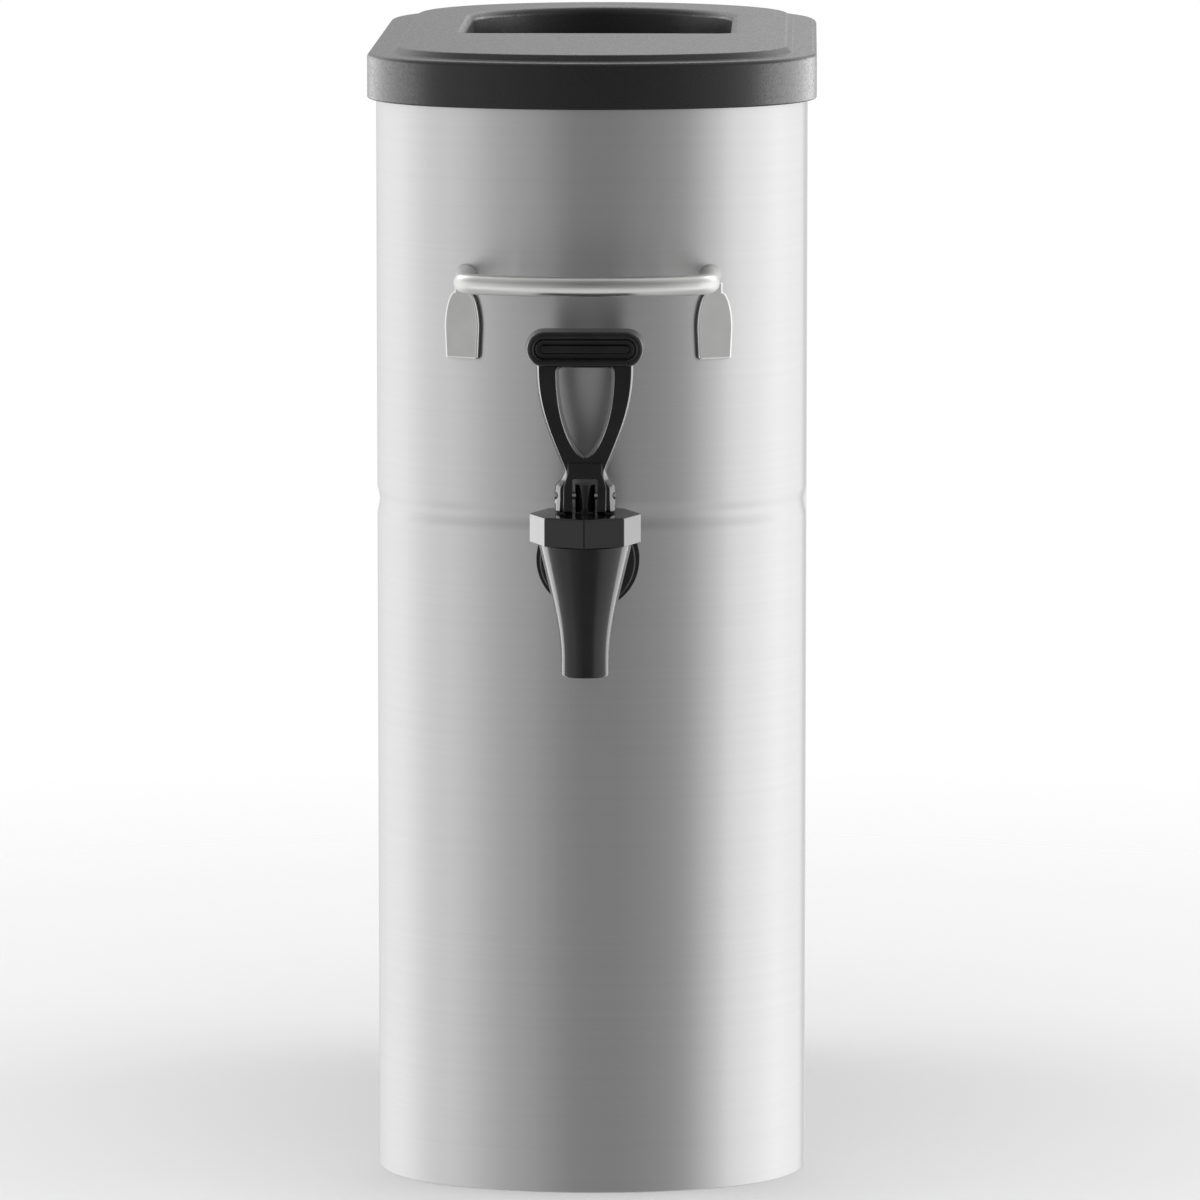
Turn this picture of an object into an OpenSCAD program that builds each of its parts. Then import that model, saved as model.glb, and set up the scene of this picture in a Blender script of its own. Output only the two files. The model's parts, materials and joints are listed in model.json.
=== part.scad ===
// Slim steel cold drink dispenser with a lift-off lid, wire handles and a lever tap.
// Millimetres, +Z up. The front faces -Y and the origin is the body's plan centre on the floor.

/* [Body] */
// Width of the steel body across its flat sides
body_w = 174; // [168:1:190]
// Depth of the steel body from front to back
body_d = 340; // [320:1:380]
// Height of the steel body from the floor to its rim
body_h = 452; // [435:0.5:480]
// Thickness of the steel sheet
sheet_t = 1; // [0.8:0.1:1.5]
// Radius of the gently curved front wall
front_r = 130; // [115:1:170]
// Radius of the two front corners
front_corner_r = 58; // [40:1:70]
// Radius of the rounder back wall
back_r = 98; // [96:1:120]
// Radius of the two back corners
back_corner_r = 80; // [60:1:82]
// Height of the pressed-in bead above the floor
bead_z = 274; // [268:1:290]
// Height of the pressed-in bead from edge to edge
bead_h = 13; // [8:1:18]
// Depth of the pressed-in bead
bead_depth = 1; // [0.6:0.1:2]
// Height of the folded hem inside the rim
rim_fold_h = 6; // [4:0.5:10]

/* [Base and tank floor] */
// Height of the angle ring's upright leg
base_ring_h = 15; // [8:1:25]
// Width of the angle ring's standing leg
base_ring_w = 12; // [8:1:20]
// Distance from the tap's axis down to the low front of the tank floor
floor_drop = 26; // [24:1:40]
// Rise of the tank floor from its front to its back
floor_rise = 6; // [2:1:12]
// Height of the tank floor's upturned wall above its front
floor_wall_h = 9; // [8:0.5:9.5]

/* [Lid] */
// Overhang of the lid's skirt past the steel body
lid_overhang = 3.6; // [3.5:0.1:8]
// Wall thickness of the moulded lid
lid_wall = 2.6; // [2:0.1:3.2]
// Drop of the lid's skirt below the rim
lid_skirt = 15.4; // [8:0.1:20]
// Thickness of the lid's ledge above the rim
lid_ledge_t = 3; // [2.5:0.1:4]
// Width of the ledge round the raised panel
lid_ledge_w = 10; // [8:0.5:16]
// Rise of the raised panel above the ledge
panel_rise = 2.6; // [1.5:0.1:9]
// Run of the raised panel's sloping edge
panel_slope = 2.4; // [1:0.1:5]
// Radius of the skirt's top edge
lid_edge_r = 2; // [0.5:0.1:2.4]
// Width of the hand recess
recess_w = 110; // [80:1:120]
// Distance from the body's front to the recess
recess_front = 136; // [110:1:160]
// Length of the recess from its straight front to its round back
recess_l = 160; // [130:1:170]
// Depth of the recess below the raised panel
recess_depth = 24; // [12:1:40]
// Radius of the recess's front corners
recess_corner_r = 6; // [2:0.5:15]

/* [Handles] */
// Diameter of the handle rod
rod_d = 8; // [5:0.5:9]
// Height of the handle rod's centreline above the floor
handle_z = 370; // [365:1:400]
// Reach of the rod's centreline in front of the body
handle_reach = 40; // [34:1:55]
// Width of the handle over the outside of its rod
handle_w = 105; // [90:1:110]
// Bow radius of the handle's grip
handle_bow_r = 105; // [80:1:200]
// Bend radius at the handle's corners
handle_bend_r = 10; // [8:0.5:16]
// Width of a weld tab
tab_w = 15; // [11:0.5:18]
// Height of a weld tab
tab_h = 25; // [20:1:36]
// Thickness of a weld tab
tab_t = 3; // [2:0.5:4]
// Width of the neck that joins a tab to the rod
tab_neck_w = 6.4; // [5:0.2:9]
// Distance from the rod's centreline down to the tab's shoulder
tab_drop = 8.5; // [7:0.5:14]
// Sideways step of the tab from the rod's leg
tab_shift = 1; // [0:0.5:3]

/* [Tap body] */
// Height of the tap's shank above the floor
tap_z = 257.5; // [255:0.5:262]
// Reach of the tap's upright axis in front of the body
tap_reach = 42; // [36:1:55]
// Outer diameter of the shank
shank_d = 16; // [14:0.5:18]
// Bore of the shank
shank_bore_d = 10; // [7:0.5:11]
// Length of shank inside the tank
shank_inside = 20; // [18:1:35]
// Diameter of the tap's flange
flange_d = 38; // [32:1:44]
// Thickness of the tap's flange
flange_t = 4; // [3:0.5:6]
// Diameter of the outer gasket
gasket_d = 41; // [36:1:46]
// Thickness of the outer gasket at its middle
gasket_t = 2.5; // [2:0.1:4]
// Diameter of the inner gasket and its clamp washer
inner_seal_d = 28; // [24:1:29]
// Thickness of the inner gasket at its middle
inner_gasket_t = 3; // [2.5:0.1:4]
// Thickness of the clamp washer
clamp_t = 1.5; // [1:0.1:3]
// Width of the shank nut across its corners
nut_w = 28; // [24:1:30]
// Thickness of the shank nut
nut_t = 9; // [6:0.5:11]
// Drop of the spout's tip below the shank's axis
spout_drop = 41; // [36:0.5:50]
// Outer diameter of the spout's tip
spout_d = 19.4; // [17:0.2:21]
// Bore of the spout
spout_bore_d = 13; // [11:0.5:14]
// Outer diameter of the tap body under its bonnet
bowl_d = 36.6; // [35:0.2:39]
// Height of the tap body's shoulder above the shank's axis
bowl_h = 12; // [11:0.5:16]
// Inner diameter of the tap body's mouth
chamber_d = 26; // [24:0.5:27]
// Inner diameter of the chamber at the valve seat
chamber_seat_d = 20; // [18.5:0.5:20.5]
// Drop of the valve seat below the shank's axis
seat_drop = 16.5; // [15.5:0.5:17.5]

/* [Bonnet and valve] */
// Width of the octagonal bonnet across its corners
bonnet_w = 44; // [42:0.5:50]
// Height of the bonnet
bonnet_h = 11.5; // [10:0.5:15]
// Thickness of the bonnet's top
bonnet_top_t = 3; // [2.5:0.1:4]
// Outer diameter of the tap body's threaded collar
collar_d = 33; // [31:0.5:34]
// Height of the tap body's threaded collar
collar_h = 6.5; // [4:0.5:7]
// Thickness of the bonnet's sealing ring
seal_t = 1; // [0.6:0.1:1.5]
// Diameter of the valve stem
stem_d = 8; // [7:0.2:9]
// Diameter of the stem's spring collar
stem_collar_d = 15; // [14.5:0.5:16]
// Thickness of the stem's spring collar
stem_collar_t = 1.5; // [1:0.1:2.5]
// Drop of the spring collar's underside below the shank's axis
stem_collar_drop = 3.5; // [0:0.5:4.5]
// Diameter of the stem's foot inside the seat cup
stem_foot_d = 6; // [5:0.5:6.5]
// Height of the stem's foot above the valve seat
stem_foot_h = 6; // [5:0.5:8]
// Length of stem above the lever's pin
stem_over_pin = 4.5; // [3.5:0.5:6]
// Outer diameter of the rubber seat cup
cup_d = 17; // [16:0.5:17.5]
// Depth of the hollow under the seat cup
cup_hollow = 2.6; // [1.5:0.1:3.5]
// Gap between the seat cup's lip and the valve seat
seat_gap = 0.3; // [0.2:0.1:0.5]
// Wire diameter of the valve spring
spring_wire = 1.2; // [0.8:0.1:1.4]
// Mean diameter of the valve spring
spring_d = 11.8; // [11.4:0.2:13]
// Turns of the valve spring
spring_turns = 6; // [4:1:8]

/* [Lever] */
// Height of the lever's pin above the bonnet
pin_h = 7; // [6.5:0.5:10]
// Diameter of the lever's pin
pin_d = 3.2; // [2.5:0.1:4]
// Tilt of the lever that opens the tap, in degrees
lever_tilt = 35; // [25:1:40]
// Lift of the stem at full tilt
stem_lift = 4; // [3:0.5:5]
// Width of the lever's forked hub
hub_w = 24; // [22:0.5:28]
// Height of the hub's ears above the pin
hub_h = 4; // [3.5:0.5:6]
// Height of the lever's narrow neck above the pin
neck_h = 10; // [9.5:0.5:12]
// Width of the lever's narrow neck
neck_w = 16.8; // [15:0.2:20]
// Height of the underside of the lever's grip bar above the pin
arm_h = 50.6; // [45:0.2:54]
// Width of the lever over its two arms
arm_w = 38.4; // [34:0.2:44]
// Thickness of the lever's arms from front to back
arm_t = 8; // [6:0.5:10]
// Width of the window between the arms at its top
window_w = 23.4; // [18:0.2:26]
// Height of the window's pointed foot above the pin
window_foot_h = 15; // [14:0.5:18]
// Width of the lever's grip bar
grip_w = 47.5; // [42:0.5:56]
// Height of the lever's grip bar
grip_h = 15; // [12:0.5:18]
// Thickness of the lever's grip bar from front to back
grip_t = 12; // [9:0.5:14]
// Width of the rim round the grip bar's dished face
grip_rim = 3.4; // [2.4:0.1:4]
// Depth of the grip bar's dished face
grip_dish = 2; // [1:0.1:3]

/* [Clearances] */
// Gap between curved pieces that are welded or clamped together
weld_gap = 0.02; // [0.01:0.01:0.05]
// Radial clearance of a turning or sliding fit
run_gap = 0.06; // [0.02:0.01:0.1]
// Gap between the lever's foot and the bonnet
foot_gap = 0.3; // [0.3:0.05:0.6]
// Gap at each end of the valve spring
spring_end_gap = 0.3; // [0.2:0.05:0.5]
// Gap round the stem's head in the lever's slot
head_gap = 1; // [0.6:0.1:1.5]
// Radial clearance of the shank in the body's hole
hole_gap = 0.3; // [0.1:0.05:0.6]

/* [Hidden] */
$fn = 96;

steel = "#b9bbbd";
rod_steel = "#cfd1d2";
lid_black = "#3a3b3d";
tap_black = "#1d1e20";
rubber_black = "#262626";
silicone = "#c9c4b8";

// Steps in computed curves, slices in pressed or rounded edges, and lengths that cuts run past a face
curve_steps = 16;
arc_steps = 16;
bead_slices = 5;
slice_lap = 0.1;
edge_slices = 3;
slope_slices = 4;
rod_sides = 12;
past = 1;
through = 100;

// Plan of the body: a front arc, two front corners, flat sides, two back corners and a back arc.
// A corner's centre stays at least corner_room from the middle plane.
corner_room = 8;
front_corner = min(front_corner_r, body_w / 2 - corner_room);
back_corner = min(back_corner_r, body_w / 2 - corner_room);
front_y = -body_d / 2;
front_centre_y = front_y + front_r;
front_corner_x = body_w / 2 - front_corner;
front_turn = asin(front_corner_x / (front_r - front_corner));
front_corner_y = front_centre_y - (front_r - front_corner) * cos(front_turn);
back_centre_y = body_d / 2 - back_r;
back_corner_x = body_w / 2 - back_corner;
back_turn = asin(back_corner_x / (back_r - back_corner));
back_corner_y = back_centre_y + (back_r - back_corner) * cos(back_turn);

// Lower edge of the bead
bead_low = bead_z - bead_h / 2;

// Lid levels and the inner edge of its swept border
ledge_z = body_h + lid_ledge_t;
panel_z = ledge_z + panel_rise;
panel_under_z = panel_z - lid_wall;
panel_edge = lid_overhang - lid_ledge_w - panel_slope;
recess_front_y = front_y + recess_front;
recess_back_centre_y = recess_front_y + recess_l - recess_w / 2;

// Handle rod in plan
leg_x = (handle_w - rod_d) / 2;
bend_x = leg_x - handle_bend_r;
bow_y = handle_reach - handle_bow_r;
bow_turn = asin(bend_x / (handle_bow_r - handle_bend_r));
bend_y = bow_y + (handle_bow_r - handle_bend_r) * cos(bow_turn);
tab_x = leg_x + tab_shift;
// Share of the bow between its first and last ring, and a tab's foot as a share of its width
bow_share = 0.9;
foot_share = 0.92;
// Step of the lever's hub in front of and behind its arms
hub_step = 1;

// Tap levels and its upright axis
tap_y = front_y - tap_reach;
spout_tip_z = tap_z - spout_drop;
seat_z = tap_z - seat_drop;
bowl_z = tap_z + bowl_h;
collar_z = bowl_z + collar_h;
bonnet_z = bowl_z + bonnet_h;
bonnet_under_z = bonnet_z - bonnet_top_t;
bonnet_shoulder_z = collar_z + seal_t;
stem_collar_z = tap_z - stem_collar_drop;
spring_foot_z = stem_collar_z + stem_collar_t;
pin_z = bonnet_z + pin_h;
stem_foot_z = seat_z + stem_foot_h;
stem_top_z = pin_z + stem_over_pin;

// Faces of the clamped stack on the shank, from the outside in
flange_back_y = front_y - gasket_t;
inner_face_y = front_y + sheet_t;
clamp_front_y = inner_face_y + inner_gasket_t;
nut_front_y = clamp_front_y + clamp_t;
shank_end_y = inner_face_y + shank_inside;

function arc_points(cx, cy, r, from, to, steps) =
    [for (i = [0 : steps - 1]) let (a = from + (to - from) * i / steps) [cx + r * cos(a), cy + r * sin(a)]];

function bezier(a, b, c, d, steps) =
    [for (i = [0 : steps]) let (t = i / steps, s = 1 - t)
        s * s * s * a + 3 * s * s * t * b + 3 * s * t * t * c + t * t * t * d];

function mirrored(points) = [for (i = [len(points) - 1 : -1 : 0]) [-points[i][0], points[i][1]]];

function reversed(points) = [for (i = [len(points) - 1 : -1 : 0]) points[i]];

// Closed plan outline of the body, moved outward by an offset
function outline(out) = concat(
    arc_points(0, front_centre_y, front_r + out, -90 - front_turn, -90 + front_turn, arc_steps),
    arc_points(front_corner_x, front_corner_y, front_corner + out, -90 + front_turn, 0, arc_steps),
    arc_points(back_corner_x, back_corner_y, back_corner + out, 0, 90 - back_turn, arc_steps),
    arc_points(0, back_centre_y, back_r + out, 90 - back_turn, 90 + back_turn, arc_steps),
    arc_points(-back_corner_x, back_corner_y, back_corner + out, 90 + back_turn, 180, arc_steps),
    arc_points(-front_corner_x, front_corner_y, front_corner + out, 180, 270 - front_turn, arc_steps));

// Level slab with the body's plan, and a ring cut from one
module slab(out, low_z, high_z) {
    translate([0, 0, low_z]) linear_extrude(high_z - low_z) polygon(outline(out));
}

module ring(out, thickness, low_z, high_z) {
    translate([0, 0, low_z]) linear_extrude(high_z - low_z) difference() {
        polygon(outline(out));
        polygon(outline(out - thickness));
    }
}

// Depth of the bead at the middle of one of its slices
function bead_dip(i) = bead_depth * (1 - cos(360 * (i + 0.5) / bead_slices)) / 2;

// Body: a sheet wall with a pressed-in bead, a folded rim and a hole for the shank
module body_shell() {
    bead_high = bead_z + bead_h / 2;
    slice_h = bead_h / bead_slices;
    color(steel) difference() {
        union() {
            ring(0, sheet_t, 0, bead_low + slice_lap);
            for (i = [0 : bead_slices - 1]) let (low_z = bead_low + slice_h * i)
                ring(-bead_dip(i), sheet_t, low_z - slice_lap, low_z + slice_h + slice_lap);
            ring(0, sheet_t, bead_high - slice_lap, body_h);
            ring(-sheet_t / 2, 1.5 * sheet_t, body_h - rim_fold_h, body_h);
        }
        along_shank(front_y - through / 2, front_y + through / 2) circle(d = shank_d + 2 * hole_gap);
    }
}

// Angle ring inside the foot of the shell
module base_ring() {
    color(steel) {
        ring(-sheet_t, base_ring_w, 0, sheet_t);
        ring(-sheet_t, sheet_t, 0, base_ring_h);
    }
}

// Tank floor: a pan whose bottom falls towards the tap, with an upturned wall against the shell
module tank_floor() {
    low_z = tap_z - floor_drop;
    slope = atan(floor_rise / body_d);
    wall_foot_z = low_z - 2 * sheet_t;
    wall_top_z = low_z + floor_wall_h;
    color(steel) {
        ring(-sheet_t, sheet_t, wall_foot_z, wall_top_z);
        intersection() {
            slab(-1.5 * sheet_t, wall_foot_z, tap_z);
            translate([0, front_y, low_z]) rotate([slope, 0, 0]) translate([-body_w / 2, 0, -sheet_t])
                cube([body_w, 2 * body_d, sheet_t]);
        }
    }
}

// Round bar swept along a path; each ring stands between its sideways direction and +Z
module tube(path, sideways, d, sides) {
    rings = len(path);
    points = [for (i = [0 : rings - 1], k = [0 : sides - 1]) let (b = 360 * k / sides)
        path[i] + d / 2 * (cos(b) * sideways[i] + sin(b) * [0, 0, 1])];
    walls = [for (i = [0 : rings - 2], k = [0 : sides - 1])
        let (p = i * sides + k, q = i * sides + (k + 1) % sides)
            each [[p, q, p + sides], [q, q + sides, p + sides]]];
    first = [for (k = [1 : sides - 2]) [0, k + 1, k]];
    last_ring = (rings - 1) * sides;
    last = [for (k = [1 : sides - 2]) [last_ring, last_ring + k, last_ring + k + 1]];
    polyhedron(points, concat(walls, first, last));
}

// Handle rod drawn on the back of the body's end, with y = 0 at the wall's middle
function turn_steps(cx, cy, r, from, to, steps) =
    [for (i = [0 : steps]) let (a = from + (to - from) * i / steps) [cx, cy, r, a]];

module rod() {
    legs_y = -body_d / 2;
    bows = concat(
        [[-bend_x, legs_y, handle_bend_r, 180]],
        turn_steps(-bend_x, bend_y, handle_bend_r, 180, 90 + bow_turn, curve_steps / 2),
        turn_steps(0, bow_y, handle_bow_r, 90 + bow_share * bow_turn, 90 - bow_share * bow_turn, curve_steps),
        turn_steps(bend_x, bend_y, handle_bend_r, 90 - bow_turn, 0, curve_steps / 2),
        [[bend_x, legs_y, handle_bend_r, 0]]);
    path = [for (b = bows) [b[0] + b[2] * cos(b[3]), b[1] + b[2] * sin(b[3]), handle_z]];
    tube(path, [for (b = bows) [cos(b[3]), sin(b[3]), 0]], rod_d, rod_sides);
}

module rod_leg(side, gap) {
    translate([side * leg_x, bend_y, handle_z]) rotate([90, 0, 0])
        cylinder(d = rod_d + 2 * gap, h = bend_y + body_d / 2);
}

// Puts a piece drawn at the back end on the front (-1) or the back (1) of the body
module at_end(end) {
    translate([0, end * body_d / 2, 0]) mirror([0, end < 0 ? 1 : 0, 0]) children();
}

module handle(end) {
    color(rod_steel) difference() {
        at_end(end) rod();
        slab(weld_gap, 0, body_h);
    }
}

// Centre, radius and turn of the wall under a tab, measured from the end's own middle
function tab_wall(end) = end < 0
    ? (tab_x < front_r * sin(front_turn)
        ? [0, -front_r, front_r]
        : [front_corner_x, front_y - front_corner_y, front_corner])
    : (tab_x < back_r * sin(back_turn)
        ? [0, -back_r, back_r]
        : [back_corner_x, back_corner_y - body_d / 2, back_corner]);

// Spade-shaped weld tab: flat foot, arched shoulders and a neck that cradles the rod
module tab(end, side) {
    wall = tab_wall(end);
    turn = asin((tab_x - wall[0]) / wall[2]);
    shoulder = bezier([tab_w / 2, -tab_h / 2], [tab_w / 2, -tab_h / 5], [tab_w * 0.36, tab_h / 16],
        [tab_neck_w / 2, tab_h / 12], curve_steps);
    neck_top = [tab_neck_w / 2, tab_drop - rod_d / 4];
    right_edge = concat([[foot_share * tab_w / 2, -tab_h]], shoulder, [neck_top]);
    color(rod_steel) at_end(end) difference() {
        mirror([side < 0 ? 1 : 0, 0, 0])
            translate([wall[0], wall[1], handle_z - tab_drop]) rotate([0, 0, -turn])
            translate([0, wall[2] + tab_t, 0]) rotate([90, 0, 0])
            linear_extrude(tab_t - weld_gap) polygon(concat(right_edge, mirrored(right_edge)));
        rod_leg(side, weld_gap);
    }
}

module front_handle() { handle(-1); }
module front_tab_left() { tab(-1, -1); }
module front_tab_right() { tab(-1, 1); }
module rear_handle() { handle(1); }
module rear_tab_left() { tab(1, -1); }
module rear_tab_right() { tab(1, 1); }

// Lid: a skirt, a ledge that rests on the rim, a raised panel and a hand recess with a closed floor
function recess_outline(out) = concat(
    arc_points(recess_w / 2 - recess_corner_r, recess_front_y + recess_corner_r, recess_corner_r + out,
        -90, 0, curve_steps),
    arc_points(0, recess_back_centre_y, recess_w / 2 + out, 0, 180, arc_steps),
    [[-recess_w / 2 - out, recess_back_centre_y]],
    arc_points(recess_corner_r - recess_w / 2, recess_front_y + recess_corner_r, recess_corner_r + out,
        180, 270, curve_steps),
    [[recess_corner_r - recess_w / 2, recess_front_y - out]]);

module lid_outside() {
    foot_z = body_h - lid_skirt;
    slab(lid_overhang, foot_z, ledge_z - lid_edge_r);
    for (i = [1 : edge_slices]) let (rise = (i - 0.5) / edge_slices)
        slab(lid_overhang - lid_edge_r * (1 - sqrt(1 - rise * rise)), foot_z,
            ledge_z - lid_edge_r * (1 - i / edge_slices));
    for (i = [1 : slope_slices])
        slab(lid_overhang - lid_ledge_w - panel_slope * (i - 0.5) / slope_slices, foot_z,
            ledge_z + panel_rise * i / slope_slices);
}

module lid() {
    recess_z = panel_z - recess_depth;
    color(lid_black) difference() {
        union() {
            difference() {
                lid_outside();
                slab(lid_overhang - lid_wall, body_h - 2 * lid_skirt, body_h);
                slab(panel_edge - lid_wall, body_h - lid_skirt, panel_under_z);
            }
            translate([0, 0, recess_z - lid_wall]) linear_extrude(recess_depth + lid_wall / 2)
                polygon(recess_outline(lid_wall));
        }
        translate([0, 0, recess_z]) linear_extrude(recess_depth + lid_wall) polygon(recess_outline(0));
    }
}

// Tap body: a tapered spout, a threaded collar, a shank through the wall and a clamping flange
module along_shank(from_y, to_y) {
    translate([0, to_y, tap_z]) rotate([90, 0, 0]) linear_extrude(to_y - from_y) children();
}

module faucet_body() {
    tall = bowl_z - spout_tip_z;
    taper = bezier([bowl_d / 2, bowl_z], [0.3 * bowl_d + 0.2 * spout_d, bowl_z - 0.31 * tall],
        [spout_d / 2, bowl_z - 0.61 * tall], [spout_d / 2, bowl_z - 0.88 * tall], curve_steps);
    color(tap_black) difference() {
        union() {
            translate([0, tap_y, 0]) rotate_extrude() polygon(concat(
                [[0, collar_z], [collar_d / 2, collar_z], [collar_d / 2, bowl_z]], taper,
                [[spout_d / 2, spout_tip_z], [0, spout_tip_z]]));
            along_shank(tap_y, shank_end_y) circle(d = shank_d);
            along_shank(flange_back_y - flange_t, flange_back_y) circle(d = flange_d);
        }
        translate([0, tap_y, 0]) rotate_extrude() polygon([
            [0, collar_z + past], [chamber_d / 2, collar_z + past], [chamber_d / 2, bowl_z],
            [chamber_seat_d / 2, seat_z], [spout_bore_d / 2, seat_z],
            [spout_bore_d / 2, spout_tip_z - past], [0, spout_tip_z - past]]);
        along_shank(tap_y, shank_end_y + past) circle(d = shank_bore_d);
    }
}

// Rubber gasket outside the wall, hollowed to the wall's curve
module outer_gasket() {
    color(rubber_black) difference() {
        along_shank(flange_back_y, front_y + gasket_t) circle(d = gasket_d);
        along_shank(flange_back_y - past, front_y + gasket_t + past) circle(d = shank_d + 2 * weld_gap);
        slab(weld_gap, 0, body_h);
    }
}

// Gasket inside the wall, crowned to the wall's curve
module inner_gasket() {
    color(silicone) difference() {
        intersection() {
            along_shank(front_y, clamp_front_y) circle(d = inner_seal_d);
            union() {
                slab(-sheet_t - weld_gap, 0, bead_low - slice_lap - weld_gap);
                slab(-sheet_t - bead_depth - weld_gap, 0, body_h);
            }
        }
        along_shank(front_y - past, clamp_front_y + past) circle(d = shank_d + 2 * weld_gap);
    }
}

module clamp_washer() {
    color(steel) along_shank(clamp_front_y, nut_front_y) difference() {
        circle(d = inner_seal_d);
        circle(d = shank_d + 2 * weld_gap);
    }
}

module shank_nut() {
    color(tap_black) along_shank(nut_front_y, nut_front_y + nut_t) difference() {
        circle(d = nut_w, $fn = 6);
        circle(d = shank_d + 2 * weld_gap);
    }
}

// Octagonal bonnet with one corner to the front
module faucet_bonnet() {
    color(tap_black) translate([0, tap_y, 0]) difference() {
        translate([0, 0, bowl_z]) cylinder(d = bonnet_w, h = bonnet_h, $fn = 8);
        translate([0, 0, bowl_z - past])
            cylinder(d = collar_d + 2 * weld_gap, h = bonnet_shoulder_z - bowl_z + past);
        translate([0, 0, bowl_z]) cylinder(d = chamber_d, h = bonnet_under_z - bowl_z);
        translate([0, 0, bowl_z]) cylinder(d = stem_d + 2 * run_gap, h = through);
    }
}

module bonnet_seal() {
    color(silicone) translate([0, tap_y, collar_z]) linear_extrude(seal_t) difference() {
        circle(d = collar_d - 2 * weld_gap);
        circle(d = chamber_d);
    }
}

// Valve stem with its spring collar, its foot in the seat cup and a cross hole for the pin
module valve_stem() {
    color(tap_black) difference() {
        translate([0, tap_y, 0]) rotate_extrude() polygon([
            [0, stem_foot_z], [stem_foot_d / 2, stem_foot_z], [stem_foot_d / 2, stem_collar_z],
            [stem_collar_d / 2, stem_collar_z], [stem_collar_d / 2, spring_foot_z],
            [stem_d / 2, spring_foot_z], [stem_d / 2, stem_top_z], [0, stem_top_z]]);
        pin_rod(pin_d + 2 * weld_gap, hub_w);
    }
}

// Rubber cup whose lip closes the spout's bore
module seat_cup() {
    lip_z = seat_z + seat_gap;
    cup_r = cup_d / 2;
    lip_r = spout_bore_d / 2;
    color(silicone) translate([0, tap_y, 0]) rotate_extrude() polygon([
        [0, lip_z + cup_hollow], [lip_r - cup_hollow / 2, lip_z + cup_hollow], [lip_r, lip_z], [cup_r, lip_z],
        [cup_r, (lip_z + stem_collar_z) / 2], [stem_collar_d / 2, stem_collar_z],
        [stem_foot_d / 2 + weld_gap, stem_collar_z],
        [stem_foot_d / 2 + weld_gap, stem_foot_z - weld_gap], [0, stem_foot_z - weld_gap]]);
}

// Coil spring round the stem: one round wire swept along a helix
spring_sides = 6;
spring_rings = 12;
spring_low = spring_foot_z + spring_wire / 2 + spring_end_gap;
spring_high = bonnet_under_z - spring_wire / 2 - spring_end_gap;
spring_count = spring_turns * spring_rings;
spring_pitch = (spring_high - spring_low) / spring_turns;
spring_path = [for (i = [0 : spring_count]) let (a = 360 * i / spring_rings)
    [spring_d / 2 * cos(a), spring_d / 2 * sin(a), spring_low + spring_pitch * i / spring_rings]];
spring_least_gap = min([for (i = [0 : spring_count - spring_rings])
    norm(spring_path[i + spring_rings] - spring_path[i])]) - spring_wire;
echo("least gap between spring turns", spring_least_gap);

module valve_spring() {
    color(rod_steel) translate([0, tap_y, 0]) tube(spring_path,
        [for (i = [0 : spring_count]) [cos(360 * i / spring_rings), sin(360 * i / spring_rings), 0]],
        spring_wire, spring_sides);
}

// Lever: a forked hub with a cam foot, two arms round an open window and a dished grip bar
module pin_rod(d, length) {
    translate([-length / 2, tap_y, pin_z]) rotate([0, 90, 0]) cylinder(d = d, h = length);
}

module lever_pin() {
    color(rod_steel) pin_rod(pin_d, hub_w);
}

// Foot of the hub seen from the side: its support grows with tilt as the stem lifts
function cam_foot() =
    let (rate = stem_lift / (lever_tilt * PI / 180), foot = pin_h - foot_gap)
    [for (i = [0 : curve_steps]) let (share = i / curve_steps, tilt = lever_tilt * share,
            far = foot + stem_lift * share)
        [-far * sin(tilt) - rate * cos(tilt), rate * sin(tilt) - far * cos(tilt)]];

module hub_side() {
    hub_back = arm_t / 2 + hub_step;
    polygon(concat(reversed(cam_foot()),
        [[hub_back, foot_gap - pin_h], [hub_back, hub_h], [-hub_back, hub_h]]));
}

module lever_face() {
    outer = bezier([arm_w / 2, arm_h], [arm_w / 2, arm_h * 0.68], [neck_w * 0.83, arm_h * 0.47],
        [neck_w / 2, neck_h], curve_steps);
    outer_edge = concat([[arm_w / 2, arm_h + grip_h / 3]], outer,
        [[neck_w / 2, (neck_h + hub_h) / 2], [hub_w / 2, hub_h], [hub_w / 2, 0]]);
    window = bezier([window_w / 2, arm_h], [window_w / 2, arm_h * 0.68], [window_w * 0.34, arm_h * 0.42],
        [0, window_foot_h], curve_steps);
    difference() {
        polygon(concat(outer_edge, mirrored(outer_edge)));
        polygon(concat(window, mirrored(window)));
    }
}

function stadium(width, height, steps) = let (r = height / 2, x = width / 2 - r) concat(
    arc_points(x, 0, r, -90, 90, steps), [[x, r]], arc_points(-x, 0, r, 90, 270, steps), [[-x, -r]]);

module grip_bar() {
    rib_h = (grip_h - 2 * grip_rim) / 3;
    translate([0, tap_y + grip_t / 2, pin_z + arm_h + grip_h / 2]) rotate([90, 0, 0]) {
        linear_extrude(grip_t - grip_dish) polygon(stadium(grip_w, grip_h, curve_steps));
        translate([0, 0, grip_t - 2 * grip_dish]) linear_extrude(2 * grip_dish) difference() {
            polygon(stadium(grip_w, grip_h, curve_steps));
            polygon(stadium(grip_w - 2 * grip_rim, grip_h - 2 * grip_rim, curve_steps));
        }
        translate([0, 0, grip_t - 2 * grip_dish]) linear_extrude(1.5 * grip_dish)
            polygon(stadium(grip_w - 4 * grip_rim, rib_h, curve_steps));
    }
}

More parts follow.
